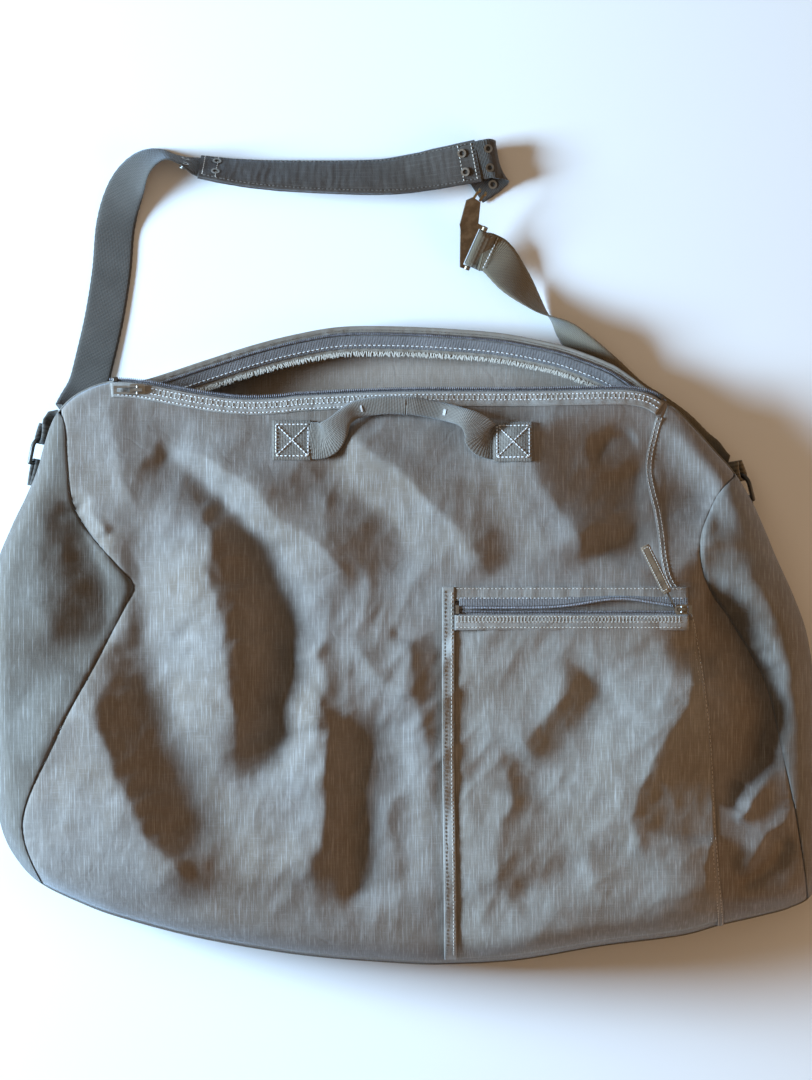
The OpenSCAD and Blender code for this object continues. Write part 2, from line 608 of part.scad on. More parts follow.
// A rolled eyelet through a stack that fills heights n0 to n1, with its flanges slack mm off the cloth.
module eyelet(n0, n1, slack) {
    flange = eyelet_r + 1.9;
    top = n1 - n0 + 2 * slack;
    translate([0, 0, n0 - slack - 0.5]) rotate_extrude() polygon([
        [eyelet_r, 0], [flange, 0], [flange, 0.5], [eyelet_r + 0.7, 0.5],
        [eyelet_r + 0.7, top + 0.5], [flange, top + 0.5], [flange, top + 1], [eyelet_r, top + 1]]);
}
module eyelets(path, t, n0, n1, slack) {
    for (side = [-1, 1]) on_ribbon(path, t, side * eyelet_side) eyelet(n0, n1, slack);
}
module pad_eyelets() {
    color("dimgray") for (t = pad_eyelet_t)
        eyelets(pad_path, t, -foam_t / 2 - pad_ply, foam_t / 2 + pad_ply, 0.6);
}
module strap_eyelets() {
    color("dimgray") {
        eyelets(left_leg, 0.95, web_n[0], web_n[1], 0.9);
        eyelets(tail_path, tail_eyelet_t[0], web_n[0], web_n[1], 1.2);
        eyelets(tail_path, tail_eyelet_t[1], web_n[0], web_n[1], 1.0);
    }
}

// The buckle: a pressed plate on a bar through the sewn loop, with an arm that carries the hooks.
buckle_bar_r = 1.5;
buckle_tail = 15;
buckle_pos = [67.5, 416.5, 17];
buckle_rise = 0.42;
buckle_half = web_w / 2 + 4;     // half the width of the plate at its bar
module at_buckle() { oriented(buckle_pos, [0.39, 0.86, 0.3], [-0.91, 0.41, buckle_rise]) children(); }
module buckle_plate() {
    color("dimgray") at_buckle() difference() {
        union() {
            translate([0, 0, -1]) linear_extrude(2) polygon([[-buckle_half, 0], [buckle_half, 0], [24, 8],
                [45, 15], [47, 24], [42, 29], [17, 25], [12, 22], [-14, 11], [-buckle_half, 7]]);
            for (side = [-1, 1]) translate([side * (buckle_half - 1.7), 0, 0]) rotate([0, 90, 0])
                cylinder(r = 3, h = 3.4, center = true);
        }
        translate([-web_w / 2 - 0.6, -4, -4]) cube([web_w + 1.2, 9.5, 8]);
        rotate([0, 90, 0]) cylinder(r = buckle_bar_r + 0.04, h = 3 * web_w, center = true);
    }
}
module buckle_bar() {
    color("darkgray") at_buckle() rotate([0, 90, 0])
        cylinder(r = buckle_bar_r, h = 2 * buckle_half - 0.4, center = true);
}
module buckle_hooks() {
    color("dimgray") at_buckle() translate([46.4, 19.5, 0]) rotate([0, 0, -10]) for (side = [-1, 1]) {
        translate([0, side * 3.4 - 1.1, -0.9]) cube([7, 2.2, 1.8]);
        translate([7, side * 3.4, -2.6]) rotate([90, 0, 0]) rotate_extrude(angle = 90)
            translate([1.7, 0]) square([1.8, 2.2], center = false);
    }
}

// ---------------------------------------------------------------- output

front_panel();
side_strip();
back_panel();
base_panel();
end_panel_left();
end_panel_right();
end_yoke_left();
end_yoke_right();
front_hem_band();
front_zip_tape();
front_zip_coil();
back_hem_band();
back_zip_tape();
back_zip_coil();
main_zip_stops();
main_slider();
main_pull();
pocket_panel();
pocket_binding();
pocket_facing();
pocket_tape_upper();
pocket_tape_lower();
pocket_coil_upper();
pocket_coil_lower();
pocket_zip_stops();
pocket_slider();
pocket_pull_link();
pocket_pull_tab();
front_handle_patches();
front_handle_grip();
back_handle_patches();
back_handle_grip();
ring_tab_left();
ring_tab_right();
d_ring_left();
d_ring_right();
strap_root_left();
strap_root_right();
strap_web_left();
strap_web_right();
strap_tail();
pad_cover_top();
pad_foam();
pad_cover_under();
pad_eyelets();
strap_eyelets();
buckle_plate();
buckle_hooks();
buckle_bar();
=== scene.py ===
import math
import bpy
import numpy as np
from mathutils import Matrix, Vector


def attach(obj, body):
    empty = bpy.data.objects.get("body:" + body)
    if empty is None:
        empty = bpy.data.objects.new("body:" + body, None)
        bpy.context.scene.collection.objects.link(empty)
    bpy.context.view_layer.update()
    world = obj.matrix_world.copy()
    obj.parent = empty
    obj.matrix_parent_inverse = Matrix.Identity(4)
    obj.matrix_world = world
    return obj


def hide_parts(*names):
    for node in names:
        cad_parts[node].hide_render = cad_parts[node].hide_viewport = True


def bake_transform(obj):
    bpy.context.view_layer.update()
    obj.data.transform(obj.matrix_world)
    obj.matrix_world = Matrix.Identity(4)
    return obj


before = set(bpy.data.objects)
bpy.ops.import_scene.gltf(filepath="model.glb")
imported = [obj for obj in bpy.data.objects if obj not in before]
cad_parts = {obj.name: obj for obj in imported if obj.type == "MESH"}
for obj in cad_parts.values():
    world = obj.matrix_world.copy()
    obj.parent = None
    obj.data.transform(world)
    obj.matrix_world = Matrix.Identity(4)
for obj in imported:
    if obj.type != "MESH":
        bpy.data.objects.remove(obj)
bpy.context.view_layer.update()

RNG = np.random.default_rng(11)
MM = 0.001
UP = np.array([0.0, 0.0, 1.0])

# ---- curves and fields


def reach(p):
    """Distance along a line at each of its points."""
    return np.concatenate([[0], np.cumsum(np.linalg.norm(np.diff(p, axis=0), axis=1))])


def unit(v):
    """The rows of v at length one."""
    return v / np.linalg.norm(v, axis=1, keepdims=True)


def pick(u, s, rows):
    """The row at distance u, where s holds the distance of each row."""
    return np.array([np.interp(u, s, rows[:, k]) for k in range(3)])


def catmull(points, n):
    """n points evenly spaced along a smooth curve through points, which may hold more than x, y and z."""
    p = np.asarray(points, float)
    m = len(p) - 1
    t = np.linspace(0, m, max(24 * m, 2) + 1)
    i = np.minimum(t.astype(int), m - 1)
    f = (t - i)[:, None]
    a, b, c, d = p[np.maximum(i - 1, 0)], p[i], p[i + 1], p[np.minimum(i + 2, m)]
    q = (2 * b + (c - a) * f + (2 * a - 5 * b + 4 * c - d) * f * f + (3 * b - a - 3 * c + d) * f ** 3) / 2
    k = min(3, p.shape[1])
    length = reach(q[:, :k])
    s = np.linspace(0, length[-1], n)
    return np.stack([np.interp(s, length, q[:, j]) for j in range(p.shape[1])], axis=1)


def smooth(e0, e1, x):
    t = np.clip((x - e0) / (e1 - e0), 0, 1)
    return t * t * (3 - 2 * t)


def near(X, Y, line):
    """Signed distance to a polyline, positive to its left, and the nearest point's share of its length."""
    shape = np.shape(X)
    P = np.stack([np.ravel(X), np.ravel(Y)], axis=1)
    best = np.full(len(P), 1e9)
    sign = np.ones(len(P))
    where = np.zeros(len(P))
    seg = np.linalg.norm(np.diff(line, axis=0), axis=1)
    start = reach(line)
    for k in range(len(line) - 1):
        a, ab = line[k], line[k + 1] - line[k]
        t = np.clip(((P - a) @ ab) / (ab @ ab), 0, 1)
        r = P - a - t[:, None] * ab
        d = np.linalg.norm(r, axis=1)
        hit = d < best
        best[hit] = d[hit]
        sign[hit] = np.sign(ab[0] * (P - a)[:, 1] - ab[1] * (P - a)[:, 0])[hit]
        where[hit] = (start[k] + t * seg[k])[hit]
    return (best * sign).reshape(shape), (where / start[-1]).reshape(shape)


def lattice(ix, iy, seed):
    h = np.sin(ix * 127.1 + iy * 311.7 + seed * 74.7) * 43758.5453
    return 2 * math.pi * (h - np.floor(h))


def noise(X, Y, seed=0):
    """Gradient noise, about -0.7 to 0.7, with cells one unit wide."""
    x0, y0 = np.floor(X), np.floor(Y)
    fx, fy = X - x0, Y - y0
    u, v = fx * fx * fx * (fx * (fx * 6 - 15) + 10), fy * fy * fy * (fy * (fy * 6 - 15) + 10)

    def corner(dx, dy):
        a = lattice(x0 + dx, y0 + dy, seed)
        return np.cos(a) * (fx - dx) + np.sin(a) * (fy - dy)
    low = corner(0, 0) * (1 - u) + corner(1, 0) * u
    high = corner(0, 1) * (1 - u) + corner(1, 1) * u
    return low * (1 - v) + high * v


def creases(X, Y, size, seed, angle=0.0, stretch=1.0, warp=0.5):
    """Ridged noise with sharp valleys, between about 0 and 1, drawn out along angle."""
    c, s = math.cos(angle), math.sin(angle)
    U, V = (X * c + Y * s) / (size * stretch), (-X * s + Y * c) / size
    U = U + warp * noise(U * 0.7, V * 0.7, seed + 3)
    V = V + warp * noise(U * 0.7 + 9, V * 0.7, seed + 5)
    return 1 - np.abs(noise(U, V, seed)) * 2.2


# ---- outline of the bag, in mm

LOWER = np.array([(-401, 29), (-399, -38), (-395, -106), (-387, -149), (-371, -178), (-350, -198), (-313, -216),
                  (-275, -230), (-198, -250), (-102, -266), (-6, -274), (42, -275), (109, -271), (186, -258),
                  (263, -248), (301, -238), (340, -229), (369, -221), (390, -208), (399, -173),
                  (399, -115)], float)
UPPER = np.array([(-401, 29), (-395, 101), (-380, 143), (-365, 174), (-354, 200), (-347, 225), (-337, 251),
                  (-318, 271), (-288, 283.5), (-257, 283), (-226, 277.5), (-196, 272), (-157, 267.5),
                  (-122, 268.5), (-98, 271), (-6, 275), (120, 275.5), (196, 277), (221, 276), (238, 271.5),
                  (252, 262.5), (263, 254.5),
                  (282, 235), (297, 218), (314, 199), (331, 172), (344, 144), (356, 115), (373, 77), (386, 38),
                  (393, -19), (399, -115)], float)
LOWER_C, UPPER_C = catmull(LOWER, 900), catmull(UPPER, 1300)
LEFT_C = np.concatenate([LOWER_C[LOWER_C[:, 0] < -300][::-1][:-1], UPPER_C[UPPER_C[:, 0] < -286]])
RIGHT_C = np.concatenate([LOWER_C[LOWER_C[:, 0] > 368], UPPER_C[UPPER_C[:, 0] > 252][::-1]])
RIGHT_C = RIGHT_C[np.argsort(RIGHT_C[:, 1])]
MOUTH_L, MOUTH_R = -288.0, 252.0


def lookup(line, given, wanted):
    return lambda v: np.interp(v, line[:, given], line[:, wanted])


y_low, y_high = lookup(LOWER_C, 0, 1), lookup(UPPER_C, 0, 1)
x_left, x_right = lookup(LEFT_C, 1, 0), lookup(RIGHT_C, 1, 0)

LEFT_SEAM = catmull([(-350, -199), (-368, -140), (-336, -62), (-302, 3), (-270, 66), (-262, 86), (-278, 106),
                     (-305, 138), (-321, 166), (-326, 205), (-328, 236), (-332, 254)], 160)
FELLED = catmull([(305, -238), (298, -173), (293, -77), (287, -19), (274, 60), (254, 96), (246, 150),
                  (237, 200), (244, 238), (252, 261)], 160)
RIGHT_SEAM = catmull([(386, -212), (377, -150), (362, -74), (346, -6), (316, 48), (288, 92), (283, 130),
                      (296, 166), (308, 184), (316, 192)], 160)


def by_rows(line):
    """x of a seam as a function of its share of the way from the base edge to the upper edge."""
    t = (line[:, 1] - y_low(line[:, 0])) / (y_high(line[:, 0]) - y_low(line[:, 0]))
    t = np.maximum.accumulate(np.clip(t, 0, 1))
    t[0], t[-1] = 0, 1
    return lambda v: np.interp(v, t, line[:, 0])


# Folds on the front. Each has a line, drawn from the mouth towards the base, a height, and a width on the line's
# left and right as seen from above. Crests have positive heights, and valleys negative ones.
FOLDS = [
    ([(-260, 168), (-255, 110), (-251, 56), (-241, -26), (-224, -92), (-195, -155), (-150, -198)],
     -21, 30, 46),
    ([(-318, 10), (-308, -14), (-292, -59), (-266, -125), (-226, -181), (-186, -218)], 22, 56, 30),
    ([(-226, 204), (-206, 173), (-190, 142), (-187, 90), (-176, 37), (-170, -10), (-163, -62), (-146, -98)],
     25, 42, 38),
    ([(-222, 206), (-196, 186), (-165, 152), (-138, 114), (-118, 72), (-109, 10), (-121, -30), (-124, -76),
      (-130, -112), (-137, -134)], -25, 37, 19),
    ([(-250, 213), (-230, 210), (-207, 194), (-182, 168), (-168, 150)], -8, 22, 18),
    ([(-228, 228), (-205, 217), (-178, 201), (-145, 176), (-108, 143), (-70, 112), (-38, 90)], 12, 15, 42),
    ([(-84, -12), (-79, -42), (-77, -141), (-90, -175), (-108, -210)], 14, 30, 20),
    ([(-52, -30), (-36, -78), (-46, -109), (-49, -175), (-40, -240)], -17, 20, 30),
    ([(-72, 248), (-52, 229), (-20, 205), (20, 172), (62, 120), (88, 92)], 14, 16, 46),
    ([(-96, 216), (-52, 178), (-8, 132), (20, 96)], -9, 28, 20),
    ([(98, 258), (112, 214), (134, 178), (158, 140), (186, 112)], 19, 30, 84),
    ([(224, 226), (205, 232), (190, 224), (176, 204)], -5, 8, 8),
    ([(224, 214), (216, 180), (214, 140), (232, 100)], -11, 34, 16),
    ([(168, 6), (139, -35), (106, -86)], 8, 26, 22),
    ([(190, 14), (172, -43), (122, -98), (96, -124)], -9, 24, 34),
    ([(262, 34), (276, -8), (262, -44), (242, -65), (225, -109), (217, -145), (230, -190)], 18, 46, 28),
    ([(178, -178), (140, -200), (98, -216)], -5, 18, 18),
    ([(104, -96), (92, -150), (80, -214)], 7, 34, 20),
    ([(296, -150), (288, -196), (290, -244)], 13, 84, 12),
    ([(287, 112), (294, 84), (311, 52), (332, 20), (344, -6), (348, -42), (336, -86), (324, -126)],
     -32, 34, 17),
    ([(320, 126), (340, 84), (364, 40), (374, 0), (372, -50)], 11, 20, 26),
    ([(298, 176), (290, 144), (300, 116)], 8, 13, 22),
    ([(352, -88), (336, -116), (318, -148)], 8, 12, 10),
    ([(322, -98), (306, -130)], -8, 11, 11),
    ([(380, -120), (346, -158), (314, -192)], 9, 13, 10),
    ([(374, -152), (340, -188), (316, -210)], -9, 10, 12),
    ([(-352, 190), (-350, 120), (-346, 60), (-336, 20)], 7, 26, 26),
    ([(-326, 186), (-304, 130), (-290, 76), (-300, 10)], -15, 30, 12),
    ([(-318, 14), (-336, -36), (-352, -96)], 7, 36, 18),
    ([(-290, 284), (-280, 224), (-268, 178), (-258, 150)], 6, 24, 20),
    ([(-312, 164), (-296, 150), (-286, 132)], 6, 12, 9),
    ([(-20, 40), (24, 30), (44, 20)], -6, 8, 9),
    ([(-56, 30), (-20, -6), (22, -22)], 6, 9, 12),
    ([(-92, 40), (-78, -8), (-92, -60)], 8, 20, 18),
    ([(10, 60), (6, 0), (20, -70), (22, -150)], 9, 28, 26),
    ([(-4, -60), (-2, -130), (4, -220)], -7, 16, 18),
]
FOLDS = [(catmull(line, 26), *rest) for line, *rest in FOLDS]
EASE = 0.2                       # share of a fold's length over which it fades in and out
CREST, VALLEY = 1.35, 1.9        # how sharp the folds' tops and bottoms are
ZIP_Y, ZIP_Z = 62.0, 129.5       # where the pocket's zip holds the cloth level


def top_z(X, Y):
    """Height of the bag's upper surface."""
    X, Y = np.asarray(X, float), np.asarray(Y, float)
    below_mouth = np.clip((y_high(np.clip(X, -286, 250)) - Y) / 205, 0, 1)
    crown = 66 + 58 * np.sin(below_mouth * math.pi / 2) ** 1.25
    edge = 45 + 17 * smooth(130, 275, Y)
    q = np.ones_like(X)
    # For each side: the distance in, where its rise ends, and the share of the rise that its rounded rim takes.
    for d, run, share, rim in ((X - x_left(Y), 190.0, 0.86, 22), (x_right(Y) - X, 150.0, 0.66, 34),
                               (Y - y_low(X), 100.0, 0.62 + 0.3 * smooth(40, 130, X), 28)):
        k = 1 - np.clip(d / rim, 0, 1)
        slow = np.sin(np.clip(d / run, 0, 1) * math.pi / 2) ** 1.2
        q = q * (share * (1 - k ** 3.0) ** 0.5 + (1 - share) * slow)
    z = edge + (crown - edge) * q
    inside = np.minimum(np.minimum(X - x_left(Y), x_right(Y) - X), Y - y_low(X))
    room = smooth(0, 44, inside) * smooth(-6, 30, y_high(X) - Y)
    # The folds' coordinates wander a little, so that no fold has a drawn edge.
    wx = X + 7.0 * noise(X / 46, Y / 34, 91) + 4.0 * noise(X / 17, Y / 13, 92)
    wy = Y + 6.0 * noise(X / 40, Y / 40, 93)
    for line, h, w_left, w_right in FOLDS:
        d, _ = near(wx, wy, line)
        chord = line[-1] - line[0]
        t = ((wx - line[0, 0]) * chord[0] + (wy - line[0, 1]) * chord[1]) / (chord @ chord)
        w = np.where(d < 0, w_left, w_right)
        sharp = CREST if h > 0 else VALLEY
        z = z + room * h * np.exp(-(np.abs(d) / w) ** sharp) * smooth(0, EASE, t) * smooth(0, EASE, 1 - t)
    tilt = smooth(8, 70, y_high(X) - Y) * room * smooth(96, 235, X) * smooth(112, 185, Y)
    z = z - 24 * tilt * smooth(335, 285, X)
    # Small creases, most of them where the cloth is loose, left of the middle.
    loose = np.exp(-((X + 50) / 150) ** 2 - ((Y + 30) / 170) ** 2)
    z = z + room * (1.6 + 2.4 * loose) * (creases(X, Y, 50, 2, angle=1.45, stretch=1.6) - 0.6)
    z = z + room * (0.6 + 1.3 * loose) * (creases(X, Y, 23, 5, angle=1.1, stretch=2.0) - 0.6)
    z = z + room * 2.5 * noise(X / 85, Y / 70, 8)
    hold = 0.85 * smooth(34, 8, np.abs(Y - ZIP_Y)) * smooth(0, 50, X) * smooth(296, 272, X)
    return z * (1 - hold) + ZIP_Z * hold


def over(x, y, h):
    """Points at height h over the bag's upper surface."""
    x, y = np.broadcast_arrays(x, y)
    return np.stack([x, y, top_z(x, y) + h], -1)


def surface(X, Y):
    """Points on the bag's cloth, which dips and puckers at its seams."""
    z = top_z(X, Y)
    for line in (LEFT_SEAM, RIGHT_SEAM):
        d, t = near(X, Y, line)
        z = z - 1.1 * np.exp(-(d / 1.7) ** 2)
        z = z + 0.6 * np.exp(-(d / 9) ** 2) * np.sin(t * 210 + 3 * np.sin(t * 61))
    return np.stack([X, Y, z], -1)


# ---- meshes


def grid_normals(g):
    du = np.gradient(g, axis=1)
    dv = np.gradient(g, axis=0)
    n = np.cross(du, dv)
    return n / np.maximum(np.linalg.norm(n, axis=2, keepdims=True), 1e-9)


def face_up(*grids):
    """The grids with their columns in the order that turns the first one's normals up."""
    rows, cols = grids[0].shape[:2]
    down = grid_normals(grids[0])[rows // 2, cols // 2, 2] < 0
    return [g[:, ::-1] if down else g for g in grids]


def arc_uv(g):
    """UV in mm from the grid's own arc lengths, u across its columns."""
    u = np.cumsum(np.linalg.norm(np.diff(g, axis=1, prepend=g[:, :1]), axis=2), axis=1)
    v = np.cumsum(np.linalg.norm(np.diff(g, axis=0, prepend=g[:1]), axis=2), axis=0)
    return np.stack([u, v], 2)


def link(ob):
    bpy.context.scene.collection.objects.link(ob)
    return ob


def mesh(name, verts, faces, mat, body, nodes=(), uv=None, shade=True):
    """A piece attached to a body by name, or else baked in place in the world, that stands for these CAD nodes
    and hides them.
    """
    me = bpy.data.meshes.new(name)
    me.from_pydata((np.asarray(verts) * MM).tolist(), [], faces)
    me.validate()
    if uv is not None:
        layer = me.uv_layers.new(name="uv")
        idx = np.empty(len(me.loops), dtype=np.int64)
        me.loops.foreach_get("vertex_index", idx)
        layer.data.foreach_set("uv", (np.asarray(uv, float)[idx] * MM).ravel())
    if shade:
        me.polygons.foreach_set("use_smooth", [True] * len(me.polygons))
    me.materials.append(mat)
    ob = link(bpy.data.objects.new(name, me))
    if isinstance(body, str):
        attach(ob, body)
    else:
        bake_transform(ob)
    if nodes:
        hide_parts(*nodes)


def slab(name, outer, inner, mat, body, nodes=(), uv=None):
    """A closed solid between two grids of points."""
    n = outer.shape[0] * outer.shape[1]
    ids = np.arange(n).reshape(outer.shape[:2])
    a, b, c, d = ids[:-1, :-1], ids[:-1, 1:], ids[1:, 1:], ids[1:, :-1]
    quads = [np.stack([np.stack([a, b, c, d], 2), np.stack([a, d, c, b], 2) + n], 1).reshape(-1, 4)]
    for a, b in ((ids[0, 1:], ids[0, :-1]), (ids[-1, :-1], ids[-1, 1:]),
                 (ids[:-1, 0], ids[1:, 0]), (ids[1:, -1], ids[:-1, -1])):
        quads.append(np.stack([a, b, b + n, a + n], 1))
    verts = np.concatenate([outer.reshape(-1, 3), inner.reshape(-1, 3)])
    uv = outer[..., :2] if uv is None else uv
    uv = np.concatenate([uv.reshape(-1, 2)] * 2)
    mesh(name, verts, np.concatenate(quads).tolist(), mat, body, nodes, uv)


def cloth(name, g, mat, uv=None):
    """A sheet of the bag's canvas whose outer face is the grid g."""
    slab(name, g, g - grid_normals(g) * 1.2, mat, "bag", [name], uv)


def tube_faces(rings, sides, outward=True):
    """The faces of a tube of this many rings, with both ends closed."""
    faces = []
    for i in range(rings - 1):
        for j in range(sides):
            a, b = i * sides + j, i * sides + (j + 1) % sides
            faces.append((a, b, b + sides, a + sides) if outward else (a, a + sides, b + sides, b))
    first, last = tuple(range(sides)), tuple(range((rings - 1) * sides, rings * sides))
    return faces + ([first[::-1], last] if outward else [first, last[::-1]])


def repeated(faces, size, count, base=0):
    """The same faces for each of count parts that have size points each."""
    return [tuple(i + base + k * size for i in f) for k in range(count) for f in faces]


def frames(path, n):
    """Centres, across directions, face normals and lengths along a path of (x, y, z, across x, y, z)."""
    p = catmull(path, n)
    c = p[:, :3]
    run = unit(np.gradient(c, axis=0))
    a = unit(p[:, 3:] - (p[:, 3:] * run).sum(1)[:, None] * run)
    return c, a, np.cross(run, a), reach(c)


def strap(name, path, width, mat, body, n, nodes, seed, wave=0.35):
    """A length of webbing, 2 mm thick, with softened edges."""
    c, a, m, s = frames(path, n)
    w = np.linspace(-1, 1, 13)
    across = w * np.broadcast_to(np.asarray(width, float) / 2, (n,))[:, None]
    drift = wave * (noise(s / 26.0, s * 0 + seed, seed) * 1.4 + 0.5 * noise(s / 9.0, s * 0, seed + 1))
    h = drift[:, None] * (0.6 + 0.4 * w)
    thick = 0.35 + 0.65 * (1 - np.abs(w) ** 9)
    mid = c[:, None] + a[:, None] * (across * (1 + 0.006 * np.sin(s * 0.9))[:, None])[..., None]
    top, bottom = (mid + m[:, None] * (h + k * thick)[..., None] for k in (1, -1))
    slab(name, top, bottom, mat, body, nodes, np.stack(np.broadcast_arrays(across, s[:, None]), 2))


# ---- thread

THREAD = {}


def capsule_verts(length, r):
    """A short rod with rounded ends, along x."""
    out = []
    for t in (0.0, 0.18, 0.5, 0.82, 1.0):
        k = r * (0.45 if t in (0.0, 1.0) else 1.0)
        for j in range(6):
            f = 2 * math.pi * j / 6
            out.append(((t - 0.5) * length, k * math.cos(f), k * math.sin(f)))
    return np.array(out)


CAP_FACES = tube_faces(5, 6)


def stitch(group, p, q, normal, r=0.42):
    """One stitch from p to q, lying on a surface with this normal."""
    p, q, normal = np.asarray(p, float), np.asarray(q, float), np.asarray(normal, float)
    d = q - p
    length = np.linalg.norm(d)
    if length < 0.2:
        return
    x = d / length
    y = np.cross(normal, x)
    y /= np.linalg.norm(y)
    z = np.cross(x, y)
    v = capsule_verts(length, r)
    bow = (1 - (v[:, 0] / (length / 2)) ** 2) * 0.12
    pts = (p + q) / 2 + v[:, :1] * x + v[:, 1:2] * y + (v[:, 2:] + r * 0.8 + bow[:, None]) * z
    THREAD.setdefault(group, []).append(pts)


def sew(group, pts, normals, length=3.0, gap=1.3, r=0.42, jitter=0.12):
    """A row of stitches along a line of points, with one normal or a normal for each point."""
    normals = np.broadcast_to(normals, pts.shape)
    s = reach(pts)
    u = 0.4
    while u + length < s[-1]:
        w = RNG.normal(0, jitter, 3)
        stitch(group, pick(u, s, pts) + w, pick(u + length, s, pts) - w, pick(u + length / 2, s, normals), r)
        u += length + gap


def finish_thread():
    for (name, body, mat), parts in THREAD.items():
        faces = repeated(CAP_FACES, len(parts[0]), len(parts))
        mesh(name, np.concatenate(parts), faces, THREADS[mat], body)


# ---- materials


class Mat:
    """A node material under construction."""

    def __init__(self, name):
        self.m = bpy.data.materials.new(name)
        self.m.use_nodes = True
        self.t = self.m.node_tree
        self.bsdf = self.t.nodes["Principled BSDF"]

    def node(self, kind, **inputs):
        n = self.t.nodes.new(kind)
        for k, v in inputs.items():
            key = k.replace("_", " ")
            if key in n.inputs:
                self.set(n.inputs[key], v)
            else:
                setattr(n, k, v)
        return n

    def set(self, socket, v):
        """Links a socket, or gives it a value. Three numbers are a display colour."""
        if hasattr(v, "is_output"):
            self.t.links.new(v, socket)
        else:
            socket.default_value = rgb(*v) if isinstance(v, tuple) and len(v) == 3 else v

    def coords(self, scale=(1, 1, 1), uv=False):
        if uv:
            src = self.node("ShaderNodeUVMap", uv_map="uv").outputs[0]
        else:
            src = self.node("ShaderNodeTexCoord").outputs["Object"]
        mp = self.node("ShaderNodeMapping")
        self.set(mp.inputs["Vector"], src)
        mp.inputs["Scale"].default_value = scale
        return mp.outputs[0]

    def noise(self, vec, scale=1.0, detail=3.0, rough=0.55):
        n = self.node("ShaderNodeTexNoise", Scale=scale, Detail=detail, Roughness=rough)
        self.set(n.inputs["Vector"], vec)
        return n.outputs["Fac"]

    def wave(self, vec, scale, distortion, direction):
        n = self.node("ShaderNodeTexWave", Scale=scale, Distortion=distortion, Detail=1.0)
        n.bands_direction = direction
        self.set(n.inputs["Vector"], vec)
        return n.outputs["Fac"]

    def ramp(self, fac, lo, hi, a=0.0, b=1.0):
        n = self.node("ShaderNodeMapRange")
        self.set(n.inputs["Value"], fac)
        for k, v in zip(("From Min", "From Max", "To Min", "To Max"), (lo, hi, a, b)):
            n.inputs[k].default_value = v
        return n.outputs[0]

    def math(self, op, a, b=0.0, clamp=False):
        n = self.node("ShaderNodeMath", operation=op)
        n.use_clamp = clamp
        self.set(n.inputs[0], a)
        self.set(n.inputs[1], b)
        return n.outputs[0]

    def mul(self, a, b, clamp=False):
        return self.math("MULTIPLY", a, b, clamp)

    def add(self, a, b, clamp=False):
        return self.math("ADD", a, b, clamp)

    def mix(self, fac, a, b):
        n = self.node("ShaderNodeMix", data_type="RGBA")
        self.set(n.inputs[0], fac)
        self.set(n.inputs[6], a)
        self.set(n.inputs[7], b)
        return n.outputs[2]

    def bump(self, height, strength=0.3, distance=0.001, normal=None):
        n = self.node("ShaderNodeBump", Strength=strength, Distance=distance)
        self.set(n.inputs["Height"], height)
        if normal is not None:
            self.set(n.inputs["Normal"], normal)
        return n.outputs[0]

    def done(self, color, rough, normal=None, **more):
        self.set(self.bsdf.inputs["Base Color"], color)
        self.set(self.bsdf.inputs["Roughness"], rough)
        if normal is not None:
            self.set(self.bsdf.inputs["Normal"], normal)
        for k, v in more.items():
            self.set(self.bsdf.inputs[k.replace("_", " ")], v)
        return self.m


def rgb(r, g, b):
    """A linear colour from display values between 0 and 255."""
    f = [c / 255 / 12.92 if c <= 10 else ((c / 255 + 0.055) / 1.055) ** 2.4 for c in (r, g, b)]
    return (*f, 1.0)


BAND = math.pi / 10          # a band texture of this scale repeats every metre


